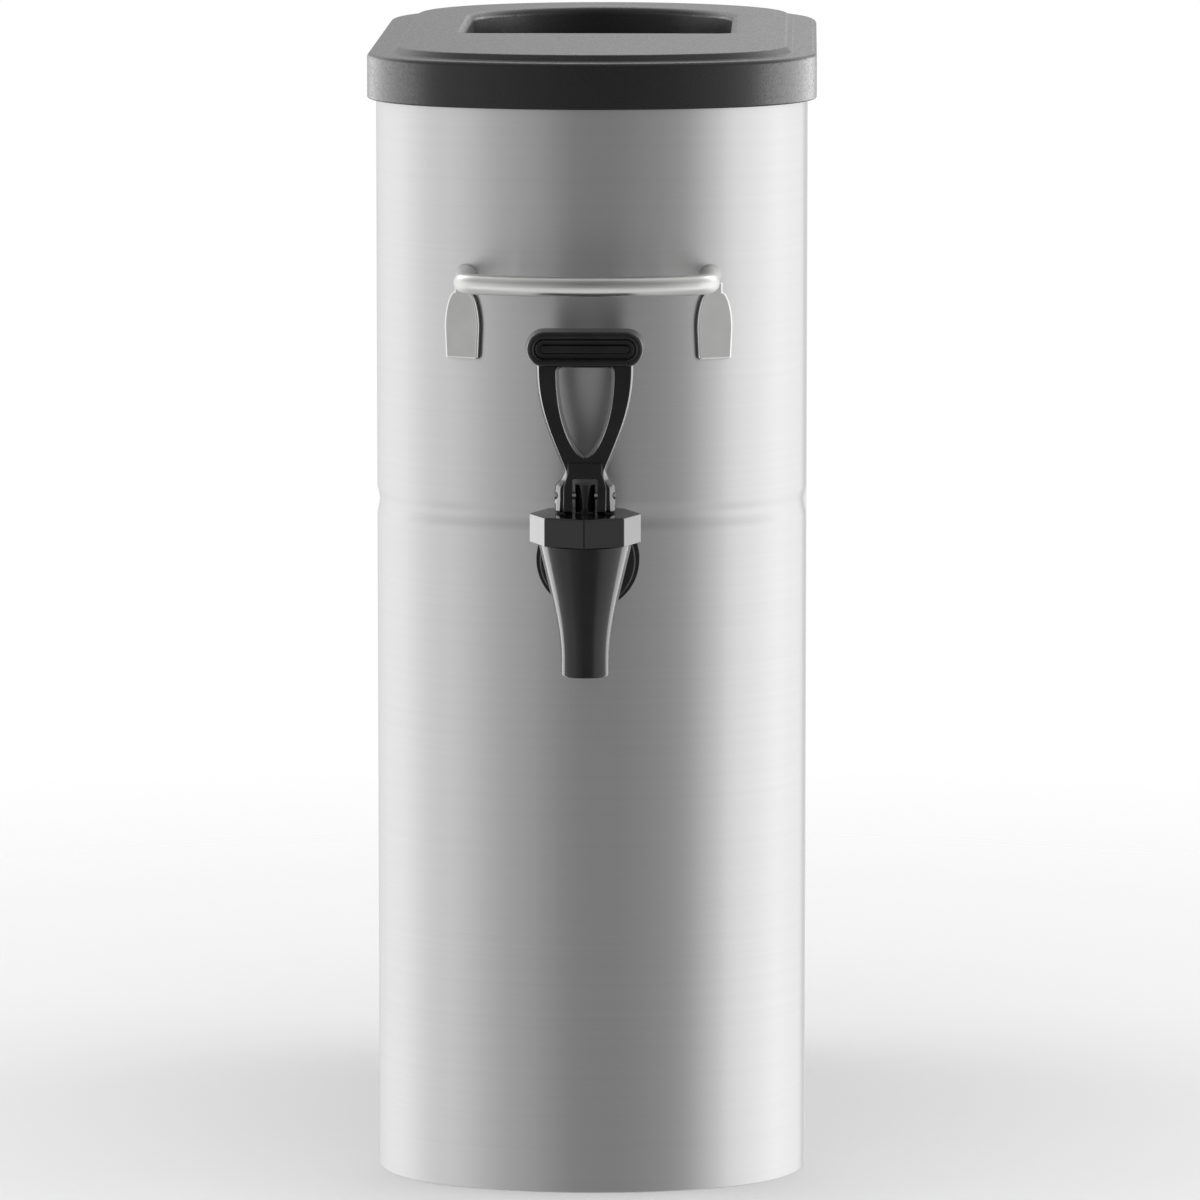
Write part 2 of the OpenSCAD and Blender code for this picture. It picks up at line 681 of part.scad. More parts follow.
module tap_lever() {
    slot_w = stem_d + 2 * head_gap;
    slot_over_pin = norm([stem_d / 2, stem_over_pin]) + head_gap;
    color(tap_black) difference() {
        union() {
            translate([-hub_w / 2, tap_y, pin_z]) rotate([90, 0, 90]) linear_extrude(hub_w) hub_side();
            translate([0, tap_y + arm_t / 2, pin_z]) rotate([90, 0, 0]) linear_extrude(arm_t) lever_face();
            grip_bar();
        }
        translate([-slot_w / 2, tap_y - through / 2, bonnet_z])
            cube([slot_w, through, pin_h + slot_over_pin]);
        pin_rod(pin_d + 2 * run_gap, 2 * hub_w);
    }
}

body_shell();
base_ring();
tank_floor();
front_handle();
front_tab_left();
front_tab_right();
rear_handle();
rear_tab_left();
rear_tab_right();
lid();
faucet_body();
outer_gasket();
inner_gasket();
clamp_washer();
shank_nut();
faucet_bonnet();
bonnet_seal();
valve_stem();
seat_cup();
valve_spring();
tap_lever();
lever_pin();
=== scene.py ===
"""Looks of a slim steel cold drink dispenser: oval body, moulded lid, rod handles and a lever tap.

Every piece is built in metres round the fixed frame, with +Z up and the tap towards -Y.
"""

import json
import math

import bmesh
import bpy
from bpy.props import FloatProperty, FloatVectorProperty, PointerProperty
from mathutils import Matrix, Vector


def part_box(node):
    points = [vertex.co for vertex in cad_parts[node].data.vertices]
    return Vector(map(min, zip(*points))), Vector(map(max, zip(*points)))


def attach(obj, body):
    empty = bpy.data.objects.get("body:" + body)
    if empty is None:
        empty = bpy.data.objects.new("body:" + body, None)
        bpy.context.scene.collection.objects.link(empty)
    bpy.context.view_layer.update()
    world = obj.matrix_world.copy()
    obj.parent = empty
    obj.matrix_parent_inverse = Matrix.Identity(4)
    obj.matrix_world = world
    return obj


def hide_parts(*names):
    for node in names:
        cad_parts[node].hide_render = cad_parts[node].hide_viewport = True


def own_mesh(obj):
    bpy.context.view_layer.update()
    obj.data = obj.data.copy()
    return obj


bl_info = {
    "name": "Cold drink dispenser",
    "version": (1, 0, 0),
    "blender": (4, 5, 0),
    "location": "View3D > Sidebar > Dispenser",
    "description": "Builds the looks of a steel cold drink dispenser round its fixed frame",
    "category": "Object",
}

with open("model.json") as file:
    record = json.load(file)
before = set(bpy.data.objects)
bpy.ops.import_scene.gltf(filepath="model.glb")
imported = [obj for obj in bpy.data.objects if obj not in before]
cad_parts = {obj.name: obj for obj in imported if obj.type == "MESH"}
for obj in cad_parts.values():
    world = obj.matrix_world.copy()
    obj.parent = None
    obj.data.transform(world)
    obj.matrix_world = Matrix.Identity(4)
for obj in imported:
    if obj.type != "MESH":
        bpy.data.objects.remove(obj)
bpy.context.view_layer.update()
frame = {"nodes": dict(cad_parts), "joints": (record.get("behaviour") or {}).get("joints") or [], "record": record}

MM = 0.001
# Room between pieces that touch, and how far a cutting body runs past the piece it cuts
FIT_GAP = 0.02 * MM
CUT_PAST = 2 * MM
# Points closer than this are one point
SAME_POINT = 1e-7
ARC_STEPS = 40
LATHE_STEPS = 112
HOLE_STEPS = 48
CURVE_STEPS = 28
ROUND_STEP = math.radians(15)
SHARP_ANGLE = math.radians(32)
# Least divisor of a mitre, which limits how far a sharp corner moves
MITRE_LEAST = 0.4
# Room between the seat cup and its seat
SEAT_GAP = 0.3 * MM

BODY_LOW, BODY_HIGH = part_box("body_shell")
LID_LOW, LID_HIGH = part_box("lid")
PAN_LOW, PAN_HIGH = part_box("tank_floor")
RING_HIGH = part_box("base_ring")[1]
ROD_LOW, ROD_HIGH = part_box("front_handle")
TAB_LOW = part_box("front_tab_right")[0]
TAP_LOW, TAP_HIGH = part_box("faucet_body")
BONNET_LOW, BONNET_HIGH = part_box("faucet_bonnet")
LEVER_LOW, LEVER_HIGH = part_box("tap_lever")
PIN_LOW, PIN_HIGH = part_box("lever_pin")
STEM_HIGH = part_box("valve_stem")[1]
SPRING_LOW, SPRING_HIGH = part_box("valve_spring")
CLAMP_LOW, CLAMP_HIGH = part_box("clamp_washer")
CUP_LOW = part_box("seat_cup")[0]
SPAN = BODY_HIGH - BODY_LOW
ROD_SPAN = ROD_HIGH - ROD_LOW
ROD_Z = (ROD_LOW.z + ROD_HIGH.z) / 2
LEVER_SPAN = LEVER_HIGH - LEVER_LOW
PIN_Z = (PIN_LOW.z + PIN_HIGH.z) / 2


def length(name, description, default):
    """A length property in metres."""
    return FloatProperty(name=name, description=description, default=default, unit="LENGTH", precision=5)


def colour(name, description, default):
    """A linear colour property."""
    return FloatVectorProperty(name=name, description=description, default=default, subtype="COLOR",
                               size=3, min=0, max=1)


def rotation(name, description, default):
    """An angle property in radians."""
    return FloatProperty(name=name, description=description, default=default, unit="ROTATION")


def watts(name, description, default):
    """A lamp's power in watts."""
    return FloatProperty(name=name, description=description, default=default, unit="POWER")


class BodySizes(bpy.types.PropertyGroup):
    """Sizes of the steel body, its foot ring and its tank floor."""

    width: length("Width", "Width of the body across its flat sides", SPAN.x)
    depth: length("Depth", "Depth of the body from front to back", SPAN.y)
    height: length("Height", "Height of the body's rim", BODY_HIGH.z)
    sheet: length("Sheet", "Thickness of the steel sheet", 1 * MM)
    front_r: length("Front radius", "Radius of the gently curved front wall", 130 * MM)
    front_corner_r: length("Front corners", "Radius of the two front corners", 58 * MM)
    back_r: length("Back radius", "Radius of the rounder back wall", 98 * MM)
    back_corner_r: length("Back corners", "Radius of the two back corners", 80 * MM)
    bead_z: length("Bead level", "Height of the pressed-in bead above the floor", 274 * MM)
    bead_h: length("Bead height", "Height of the bead from edge to edge", 13 * MM)
    bead_depth: length("Bead depth", "Depth of the pressed-in bead", 1 * MM)
    rim_fold: length("Rim fold", "Height of the folded hem inside the rim", 6 * MM)
    ring_h: length("Foot ring height", "Height of the foot ring's upright leg", RING_HIGH.z)
    ring_w: length("Foot ring width", "Width of the foot ring's standing leg", 12 * MM)
    floor_rise: length("Floor rise", "Rise of the tank floor from front to back", 6 * MM)


class LidSizes(bpy.types.PropertyGroup):
    """Sizes of the moulded lid."""

    overhang: length("Overhang", "Overhang of the skirt past the body", (LID_HIGH.x - LID_LOW.x - SPAN.x) / 2)
    wall: length("Wall", "Wall thickness of the moulding", 2.6 * MM)
    skirt: length("Skirt", "Drop of the skirt below the rim", 15.4 * MM)
    ledge_t: length("Ledge", "Thickness of the ledge above the rim", 3 * MM)
    ledge_w: length("Ledge width", "Width of the ledge round the raised panel", 10 * MM)
    slope: length("Panel slope", "Run of the raised panel's sloping edge", 2.4 * MM)
    edge_r: length("Edge radius", "Radius of the skirt's top edge", 2 * MM)
    panel_r: length("Panel radius", "Radius of the raised panel's edge", 1.4 * MM)
    recess_w: length("Recess width", "Width of the hand recess", 110 * MM)
    recess_front: length("Recess front", "Distance from the body's front to the recess", 136 * MM)
    recess_l: length("Recess length", "Length of the recess from front to back", 160 * MM)
    recess_corner_r: length("Recess corners", "Radius of the recess's front corners", 6 * MM)
    lip_r: length("Lip radius", "Radius of the recess's lip", 3 * MM)


class HandleSizes(bpy.types.PropertyGroup):
    """Sizes of the rod handles and their weld tabs."""

    rod_d: length("Rod", "Diameter of the handle rod", ROD_SPAN.z)
    bow_r: length("Bow", "Bow radius of the grip", 105 * MM)
    bend_r: length("Bend", "Bend radius at the corners", 10 * MM)
    weld: length("Weld", "Size of the weld fillet at the rod's ends", 0.6 * MM)
    tab_w: length("Tab width", "Width of a weld tab", 15 * MM)
    tab_h: length("Tab height", "Height of a weld tab below its shoulder", 25 * MM)
    tab_t: length("Tab thickness", "Thickness of a weld tab", 3 * MM)
    tab_neck: length("Tab neck", "Width of the neck under the rod", 6.4 * MM)
    tab_shift: length("Tab shift", "Sideways step of the tab from the rod's leg", 1 * MM)
    tab_edge: length("Tab edge", "Radius of the tab's front edges", 0.9 * MM)


class TapSizes(bpy.types.PropertyGroup):
    """Sizes of the tap's body and bonnet."""

    reach: length("Reach", "Reach of the tap's upright axis in front of the body",
                  BODY_LOW.y - (BONNET_LOW.y + BONNET_HIGH.y) / 2)
    shank_z: length("Shank level", "Height of the shank's axis", (CLAMP_LOW.z + CLAMP_HIGH.z) / 2)
    shank_d: length("Shank", "Outer diameter of the shank", 16 * MM)
    shank_bore_d: length("Shank bore", "Bore of the shank", 10 * MM)
    hole_gap: length("Hole gap", "Clearance round the shank in the body's hole", 0.3 * MM)
    flange_d: length("Flange", "Diameter of the flange", 38 * MM)
    flange_t: length("Flange thickness", "Thickness of the flange", 4 * MM)
    gasket_t: length("Gasket", "Thickness of the outer gasket", 2.5 * MM)
    spout_d: length("Spout", "Outer diameter of the spout's tip", 19.4 * MM)
    spout_bore_d: length("Spout bore", "Bore of the spout", 13 * MM)
    bowl_d: length("Bowl", "Outer diameter under the bonnet", 36.6 * MM)
    collar_d: length("Collar", "Outer diameter of the threaded collar", 33 * MM)
    chamber_d: length("Chamber", "Inner diameter of the mouth", 26 * MM)
    seat_d: length("Seat", "Inner diameter at the valve seat", 20 * MM)
    seat_z: length("Seat level", "Height of the valve seat", CUP_LOW.z - SEAT_GAP)
    bonnet_top: length("Bonnet top", "Thickness of the bonnet's top", 3 * MM)
    seal_t: length("Seal", "Thickness of the bonnet's sealing ring", 1 * MM)
    stem_d: length("Stem", "Diameter of the valve stem", 8 * MM)
    corner_r: length("Bonnet corners", "Radius of the bonnet's upright corners", 1.2 * MM)
    edge_r: length("Bonnet edges", "Radius of the bonnet's rims", 0.9 * MM)


class LeverSizes(bpy.types.PropertyGroup):
    """Sizes of the lever."""

    hub_w: length("Hub", "Width of the forked hub", PIN_HIGH.x - PIN_LOW.x)
    hub_h: length("Ears", "Height of the hub's ears above the pin", 4 * MM)
    hub_draft: length("Ear draft", "Narrowing of each side of the ears towards the front", 2.2 * MM)
    boss_h: length("Boss height", "Height of the raised boss above the pin", 13.4 * MM)
    neck_h: length("Neck level", "Height of the narrow neck above the pin", 10 * MM)
    neck_w: length("Neck", "Width of the narrow neck", 16.8 * MM)
    arm_h: length("Arm height", "Height of the grip bar's underside above the pin", 50.6 * MM)
    arm_w: length("Arms", "Width over the two arms", 38.4 * MM)
    arm_t: length("Arm thickness", "Thickness of the arms", 8 * MM)
    arm_edge: length("Arm edge", "Radius of the arms' rear edges", 0.5 * MM)
    arm_bevel: length("Arm bevel", "Width of the bevel along the arms' front edges", 1 * MM)
    arm_bevel_deep: length("Bevel depth", "Depth of the bevel along the arms' front edges", 2.4 * MM)
    window_w: length("Window", "Width of the window at its top", 21 * MM)
    window_foot: length("Window foot", "Height of the window's pointed foot above the pin", 15 * MM)
    grip_w: length("Grip", "Width of the grip bar", LEVER_SPAN.x)
    grip_h: length("Grip height", "Height of the grip bar", 15 * MM)
    grip_t: length("Grip thickness", "Thickness of the grip bar", 12 * MM)
    grip_rim: length("Grip rim", "Width of the rim round the dished face", 3.4 * MM)
    grip_dish: length("Grip dish", "Depth of the dished face", 2 * MM)
    grip_end: length("Grip ends", "Narrowing of each end of the grip bar towards the front", 0.3 * MM)
    head_gap: length("Head gap", "Gap round the stem's head in the slot", 1 * MM)
    pin_gap: length("Pin gap", "Clearance round the pin", 0.06 * MM)


class Finishes(bpy.types.PropertyGroup):
    """Colours of the finishes."""

    sheet: colour("Sheet steel", "Brushed sheet of the body", (0.70, 0.70, 0.70))
    rod: colour("Rod steel", "Satin rod of the handles", (0.78, 0.78, 0.77))
    tab: colour("Tab steel", "Duller plate of the weld tabs", (0.54, 0.54, 0.535))
    # Tab edges: the tab steel in a lighter tint, a painted highlight on the tabs' rounded front edges
    tab_edge: colour("Tab edges", "Polished edges of the weld tabs", (0.92, 0.92, 0.91))
    # Tab sides: the tab steel in a near-black tint, painted shade on the tabs' sides
    tab_side: colour("Tab sides", "Dark sheared sides of the weld tabs", (0.16, 0.16, 0.16))
    lid: colour("Lid plastic", "Grained black lid", (0.009, 0.009, 0.0095))
    tap: colour("Tap plastic", "Glossy black tap", (0.007, 0.007, 0.007))
    rubber: colour("Rubber", "Black gasket", (0.014, 0.014, 0.014))
    silicone: colour("Silicone", "Milky inner seals", (0.60, 0.57, 0.50))
    floor: colour("Floor", "Pale studio floor", (0.90, 0.90, 0.90))


class StageSizes(bpy.types.PropertyGroup):
    """Camera and lamps."""

    camera_at: FloatVectorProperty(name="Camera", description="Place of the camera", unit="LENGTH", size=3,
                                   default=(0.0859, -3.5466, 0.6988))
    camera_pitch: rotation("Pitch", "Downward tilt of the camera", math.radians(7.722))
    camera_yaw: rotation("Yaw", "Turn of the camera about the vertical", math.radians(1.376))
    lens: FloatProperty(name="Lens", description="Focal length in millimetres", default=256.5, unit="CAMERA")
    floor_r: length("Floor radius", "Radius of the round studio floor", 1.0)
    floor_fade: length("Floor fade", "Distance at which the floor starts to fade out", 0.2)
    side_power: watts("Side lamps", "Power of each side lamp", 14.0)
    top_power: watts("Top lamp", "Power of the top lamp", 24.0)
    lid_rim_power: watts("Lid rim", "Power of the lid's left rear lamp", 13.0)
    tap_rim_power: watts("Tap rim", "Power of the tap's left rear lamp", 32.0)
    rod_fill_power: watts("Rod fill", "Power of each strip below the rods", 2.3)
    ambient: FloatProperty(name="Ambient", description="Level of the soft light from all round", default=0.45,
                           subtype="FACTOR", min=0, max=1)


# Sections, outlines and meshes


def full_turn(count):
    """Angles of equal steps round a full turn."""
    return [2 * math.pi * k / count for k in range(count)]


def quarter_turn(steps):
    """Angles of equal steps from 0 to a right angle, both included."""
    return [math.pi / 2 * k / steps for k in range(steps + 1)]


def fillet(corners, closed=True):
    """Rounds a section's corners: each corner is (x, y, radius), and a radius of 0 keeps it sharp."""
    points = []
    last = len(corners) - 1
    for i, (x, y, radius) in enumerate(corners):
        here = Vector((x, y))
        if radius <= 0 or (not closed and i in (0, last)):
            points.append(here)
            continue
        before = (Vector(corners[i - 1][:2]) - here).normalized()
        after = (Vector(corners[(i + 1) % len(corners)][:2]) - here).normalized()
        half = before.angle(after) / 2
        centre = here + (before + after).normalized() * (radius / math.sin(half))
        start = here + before * (radius / math.tan(half)) - centre
        end = here + after * (radius / math.tan(half)) - centre
        turn = start.angle_signed(end)
        steps = max(2, math.ceil(abs(turn) / ROUND_STEP))
        first = math.atan2(start.y, start.x)
        for k in range(steps + 1):
            at = first - turn * k / steps
            points.append(centre + radius * Vector((math.cos(at), math.sin(at))))
    return points


def bezier(a, b, c, d, steps=CURVE_STEPS):
    """Points along a cubic curve in the plane, its last point left out."""
    points = []
    for i in range(steps):
        t = i / steps
        s = 1 - t
        points.append(Vector((s ** 3 * a[k] + 3 * s * s * t * b[k] + 3 * s * t * t * c[k] + t ** 3 * d[k]
                              for k in (0, 1))))
    return points


def mirrored(points):
    """The same points on the other side of x = 0, in reverse order."""
    return [Vector((-p[0], p[1])) for p in reversed(points)]


def signed_area(outline):
    """Area of a closed outline, positive if it runs anticlockwise."""
    return sum(a[0] * b[1] - b[0] * a[1] for a, b in zip(outline, outline[1:] + outline[:1])) / 2


def mitres(outline):
    """For each point of a closed anticlockwise outline, the way out of it for one unit of offset."""
    count = len(outline)
    result = []
    for i in range(count):
        before = (outline[i] - outline[i - 1]).normalized()
        after = (outline[(i + 1) % count] - outline[i]).normalized()
        n1 = Vector((before.y, -before.x))
        n2 = Vector((after.y, -after.x))
        result.append((n1 + n2) / max(MITRE_LEAST, 1 + n1.dot(n2)))
    return result


def loop_of(bm, points):
    """New vertices at the points."""
    return [bm.verts.new(p) for p in points]


def bridge(bm, lower, upper):
    """Quads between two loops of as many vertices."""
    count = len(lower)
    for i in range(count):
        j = (i + 1) % count
        bm.faces.new((lower[i], lower[j], upper[j], upper[i]))


def bridge_all(bm, loops):
    """Quads along a chain of loops."""
    for low, high in zip(loops, loops[1:]):
        bridge(bm, low, high)


def tube_between(bm, loops):
    """Closed tube through loops of as many points, with both ends capped."""
    rings = [loop_of(bm, points) for points in loops]
    bridge_all(bm, rings)
    bm.faces.new(rings[0])
    bm.faces.new(rings[-1])


def loop_edges(bm, loop):
    """The edges round a loop, made where they don't exist."""
    edges = []
    for a, b in zip(loop, loop[1:] + loop[:1]):
        edges.append(bm.edges.get((a, b)) or bm.edges.new((a, b)))
    return edges


def fill_flat(bm, *loops):
    """Triangles over the flat region between an outer loop and the loops inside it."""
    edges = [e for loop in loops for e in loop_edges(bm, loop)]
    bmesh.ops.triangle_fill(bm, use_beauty=True, use_dissolve=False, edges=edges)


def turn_section(bm, section, place, steps=LATHE_STEPS):
    """Turns a closed section of (radius, height) points; place maps a turned point into the frame."""
    loops = []
    for r, h in section:
        if r < SAME_POINT:
            loops.append([bm.verts.new(place(Vector((0, 0, h))))])
            continue
        points = [Vector((r * math.cos(a), r * math.sin(a), h)) for a in full_turn(steps)]
        loops.append(loop_of(bm, [place(p) for p in points]))
    for low, high in zip(loops, loops[1:] + loops[:1]):
        if len(low) == len(high) == 1:
            continue
        if len(low) == 1 or len(high) == 1:
            ring, pole = (high, low[0]) if len(low) == 1 else (low, high[0])
            for i in range(len(ring)):
                bm.faces.new((ring[i], ring[(i + 1) % len(ring)], pole))
        else:
            bridge(bm, low, high)


def rounded_edge(low, high, low_r, high_r, steps=5):
    """(inset, depth) steps of a plate's edge from its low face to its high face."""
    quarter = quarter_turn(steps)
    rise = [(low_r * (1 - math.sin(t)), low + low_r * (1 - math.cos(t))) for t in quarter]
    fall = [(high_r * (1 - math.sin(t)), high - high_r * (1 - math.cos(t))) for t in reversed(quarter)]
    return rise + fall


def plate(bm, outer, holes, edge, place):
    """Closed plate with rounded edges. place maps (x, y, depth) into the frame."""
    ends = []
    for outline, way in [(outer, 1)] + [(hole, -1) for hole in holes]:
        points = list(outline) if signed_area(outline) * way > 0 else list(reversed(outline))
        outs = mitres(points)
        loops = []
        for inset, depth in edge:
            moved = [p - m * inset for p, m in zip(points, outs)]
            loops.append(loop_of(bm, [place(Vector((p.x, p.y, depth))) for p in moved]))
        bridge_all(bm, loops)
        ends.append((loops[0], loops[-1]))
    for side in (0, 1):
        if holes:
            fill_flat(bm, *[pair[side] for pair in ends])
        else:
            bm.faces.new(ends[0][side])


def mesh_from(bm, name):
    """A mesh with outward faces and no doubled points."""
    bmesh.ops.remove_doubles(bm, verts=bm.verts, dist=SAME_POINT)
    bmesh.ops.recalc_face_normals(bm, faces=bm.faces)
    mesh = bpy.data.meshes.new(name)
    bm.to_mesh(mesh)
    bm.free()
    return mesh


def new_object(mesh):
    """An object for a mesh, in the scene."""
    made = bpy.data.objects.new(mesh.name, mesh)
    bpy.context.scene.collection.objects.link(made)
    return made


def solid(name, make, *values):
    """A new object whose mesh a function makes from some values."""
    bm = bmesh.new()
    make(bm, *values)
    return new_object(mesh_from(bm, name))


def combine(target, tool, operation):
    """Adds a tool body to a mesh object, or cuts it out, and removes the tool."""
    modifier = target.modifiers.new("combine", "BOOLEAN")
    modifier.operation = operation
    modifier.solver = "MANIFOLD"
    modifier.object = tool
    bpy.context.view_layer.update()
    shape = target.evaluated_get(bpy.context.evaluated_depsgraph_get())
    mesh = bpy.data.meshes.new_from_object(shape)
    target.modifiers.clear()
    old = target.data
    mesh.name = old.name
    target.data = mesh
    bpy.data.meshes.remove(old)
    spent = tool.data
    bpy.data.objects.remove(tool)
    bpy.data.meshes.remove(spent)
    if not mesh.polygons:
        raise RuntimeError(f"{target.name} came out empty when its pieces were combined")


def body_of(node):
    """The moving body that a node belongs to."""
    bodies = frame["record"]["behaviour"]["bodies"]
    return next(body for body, nodes in bodies.items() if node in nodes)


def joint_of(name):
    """The record's joint of a name."""
    return next(joint for joint in frame["joints"] if joint["name"] == name)


def smooth(mesh):
    """Smooth shading with sharp edges kept."""
    for face in mesh.polygons:
        face.use_smooth = True
    mesh.set_sharp_from_angle(angle=SHARP_ANGLE)


def finish_piece(piece, node, material, flat_faces=True):
    """Gives a piece its finish and puts it in the place of its node."""
    smooth(piece.data)
    piece.data.materials.clear()
    piece.data.materials.append(material)
    if flat_faces:
        weighted = piece.modifiers.new("flat faces", "WEIGHTED_NORMAL")
        weighted.keep_sharp = True
    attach(piece, body_of(node))
    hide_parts(node)
    return piece


def dress_node(node, material):
    """Gives a node that keeps its own shape a finish."""
    piece = frame["nodes"][node]
    piece.data.materials.clear()
    piece.data.materials.append(material)
    smooth(piece.data)


# Plan of the body


def plan_stations(body):
    """Centre, radius and angle of each point round the plan, from the front's left to the right and back."""
    half = body.width / 2
    front_cy = body.front_r - body.depth / 2
    front_x = half - body.front_corner_r
    front_gap = body.front_r - body.front_corner_r
    front_turn = math.asin(front_x / front_gap)
    front_y = front_cy - front_gap * math.cos(front_turn)
    back_cy = body.depth / 2 - body.back_r
    back_x = half - body.back_corner_r
    back_gap = body.back_r - body.back_corner_r
    back_turn = math.asin(back_x / back_gap)
    back_y = back_cy + back_gap * math.cos(back_turn)
    right = math.pi / 2
    arcs = [
        (0, front_cy, body.front_r, -right - front_turn, -right + front_turn, False),
        (front_x, front_y, body.front_corner_r, -right + front_turn, 0, True),
        (back_x, back_y, body.back_corner_r, 0, right - back_turn, False),
        (0, back_cy, body.back_r, right - back_turn, right + back_turn, False),
        (-back_x, back_y, body.back_corner_r, right + back_turn, 2 * right, True),
        (-front_x, front_y, body.front_corner_r, 2 * right, 3 * right - front_turn, False),
    ]
    stations = []
    for cx, cy, r, start, end, flat_follows in arcs:
        steps = range(ARC_STEPS + 1 if flat_follows else ARC_STEPS)
        stations += [(cx, cy, r, start + (end - start) * k / ARC_STEPS) for k in steps]
    return stations


def plan_loop(stations, out, z):
    """Points round the plan, moved out by a distance, at a height."""
    points = []
    for cx, cy, r, a in stations:
        points.append(Vector((cx + (r + out) * math.cos(a), cy + (r + out) * math.sin(a), z)))
    return points


def wall_at(body, x, end):
    """Where the outer wall of the front (-1) or back (1) stands at x: its y, and its turn from square."""
    half = body.width / 2
    arc_r, corner_r = ((body.front_r, body.front_corner_r) if end < 0 else (body.back_r, body.back_corner_r))
    corner_x = half - corner_r
    turn = math.asin(corner_x / (arc_r - corner_r))
    arc_y = body.depth / 2 - arc_r
    if abs(x) <= arc_r * math.sin(turn):
        lean = math.asin(abs(x) / arc_r)
        y = arc_y + arc_r * math.cos(lean)
    else:
        lean = math.asin((abs(x) - corner_x) / corner_r)
        y = arc_y + (arc_r - corner_r) * math.cos(turn) + corner_r * math.cos(lean)
    return end * y, lean


def sweep(bm, stations, section):
    """Sweeps a closed section of (outward, height) points round the plan."""
    loops = [loop_of(bm, plan_loop(stations, out, z)) for out, z in section]
    bridge_all(bm, loops + loops[:1])


# Finishes: shared node groups


def new_group(name, inputs, outputs):
    """An empty shader node group with float, colour and vector sockets."""
    group = bpy.data.node_groups.new(name, "ShaderNodeTree")
    for label, kind, default in inputs:
        socket = group.interface.new_socket(label, in_out="INPUT", socket_type=kind)
        if default is not None:
            socket.default_value = default
    for label, kind in outputs:
        group.interface.new_socket(label, in_out="OUTPUT", socket_type=kind)
    return group, group.nodes.new("NodeGroupInput"), group.nodes.new("NodeGroupOutput")


def add_node(tree, kind, **values):
    """A node with constant inputs, given by name."""
    made = tree.nodes.new(kind)
    for key, value in values.items():
        made.inputs[key].default_value = value
    return made


def math_node(tree, operation, a, b=None):
    """A math node whose operands are sockets or numbers."""
    made = tree.nodes.new("ShaderNodeMath")
    made.operation = operation
    for index, operand in enumerate((a, b)):
        if operand is None:
            continue
        if isinstance(operand, (int, float)):
            made.inputs[index].default_value = operand
        else:
            tree.links.new(operand, made.inputs[index])
    return made.outputs[0]


def map_range(tree, value, from_low, from_high, to_low, to_high, smooth_step=False):
    """Maps a value from one range to another."""
    made = tree.nodes.new("ShaderNodeMapRange")
    made.interpolation_type = "SMOOTHSTEP" if smooth_step else "LINEAR"
    tree.links.new(value, made.inputs["Value"])
    numbers = {"From Min": from_low, "From Max": from_high, "To Min": to_low, "To Max": to_high}
    for label, number in numbers.items():
        made.inputs[label].default_value = number
    return made.outputs["Result"]


def mix_colours(tree, factor, a, b):
    """A colour mix whose sides are sockets or colours."""
    made = tree.nodes.new("ShaderNodeMix")
    made.data_type = "RGBA"
    tree.links.new(factor, made.inputs[0])
    for socket, side in zip([s for s in made.inputs if s.type == "RGBA"], (a, b)):
        if isinstance(side, tuple):
            socket.default_value = side
        else:
            tree.links.new(side, socket)
    return next(s for s in made.outputs if s.type == "RGBA")


def make_brushing():
    """Brush lines: fine lines along the brushing, and broader bands."""
    group, start, end = new_group(
        "brush_lines",
        [("Vector", "NodeSocketVector", None), ("Along", "NodeSocketFloat", 6.0),
         ("Across", "NodeSocketFloat", 2600.0)],
        [("Lines", "NodeSocketFloat"), ("Bands", "NodeSocketFloat")])
    split = group.nodes.new("ShaderNodeSeparateXYZ")
    group.links.new(start.outputs["Vector"], split.inputs[0])
    for label, share, detail in (("Lines", 1.0, 4.0), ("Bands", 0.14, 2.0)):
        joined = group.nodes.new("ShaderNodeCombineXYZ")
        for axis, key in (("X", "Along"), ("Y", "Along"), ("Z", "Across")):
            amount = math_node(group, "MULTIPLY", start.outputs[key], share)
            group.links.new(math_node(group, "MULTIPLY", split.outputs[axis], amount), joined.inputs[axis])
        texture = add_node(group, "ShaderNodeTexNoise", Scale=1.0, Detail=detail, Roughness=0.6)
        group.links.new(joined.outputs[0], texture.inputs["Vector"])
        group.links.new(texture.outputs["Fac"], end.inputs[label])
    return group


def make_moulding():
    """Moulded plastic: a fine pebbled grain, and soft handling marks."""
    group, start, end = new_group(
        "moulded_grain",
        [("Vector", "NodeSocketVector", None), ("Grain", "NodeSocketFloat", 1500.0),
         ("Marks", "NodeSocketFloat", 40.0)],
        [("Pebbles", "NodeSocketFloat"), ("Marks", "NodeSocketFloat")])
    pebbles = group.nodes.new("ShaderNodeTexVoronoi")
    pebbles.feature = "SMOOTH_F1"
    pebbles.inputs["Smoothness"].default_value = 0.6
    fine = add_node(group, "ShaderNodeTexNoise", Detail=3.0, Roughness=0.6)
    marks = add_node(group, "ShaderNodeTexNoise", Detail=4.0, Roughness=0.55)
    for texture, key in ((pebbles, "Grain"), (fine, "Grain"), (marks, "Marks")):
        group.links.new(start.outputs["Vector"], texture.inputs["Vector"])
        group.links.new(start.outputs[key], texture.inputs["Scale"])
    mixed = math_node(group, "ADD", pebbles.outputs["Distance"], fine.outputs["Fac"])
    group.links.new(math_node(group, "MULTIPLY", mixed, 0.5), end.inputs["Pebbles"])
    group.links.new(map_range(group, marks.outputs["Fac"], 0.3, 0.7, 0.0, 1.0, True), end.inputs["Marks"])
    return group


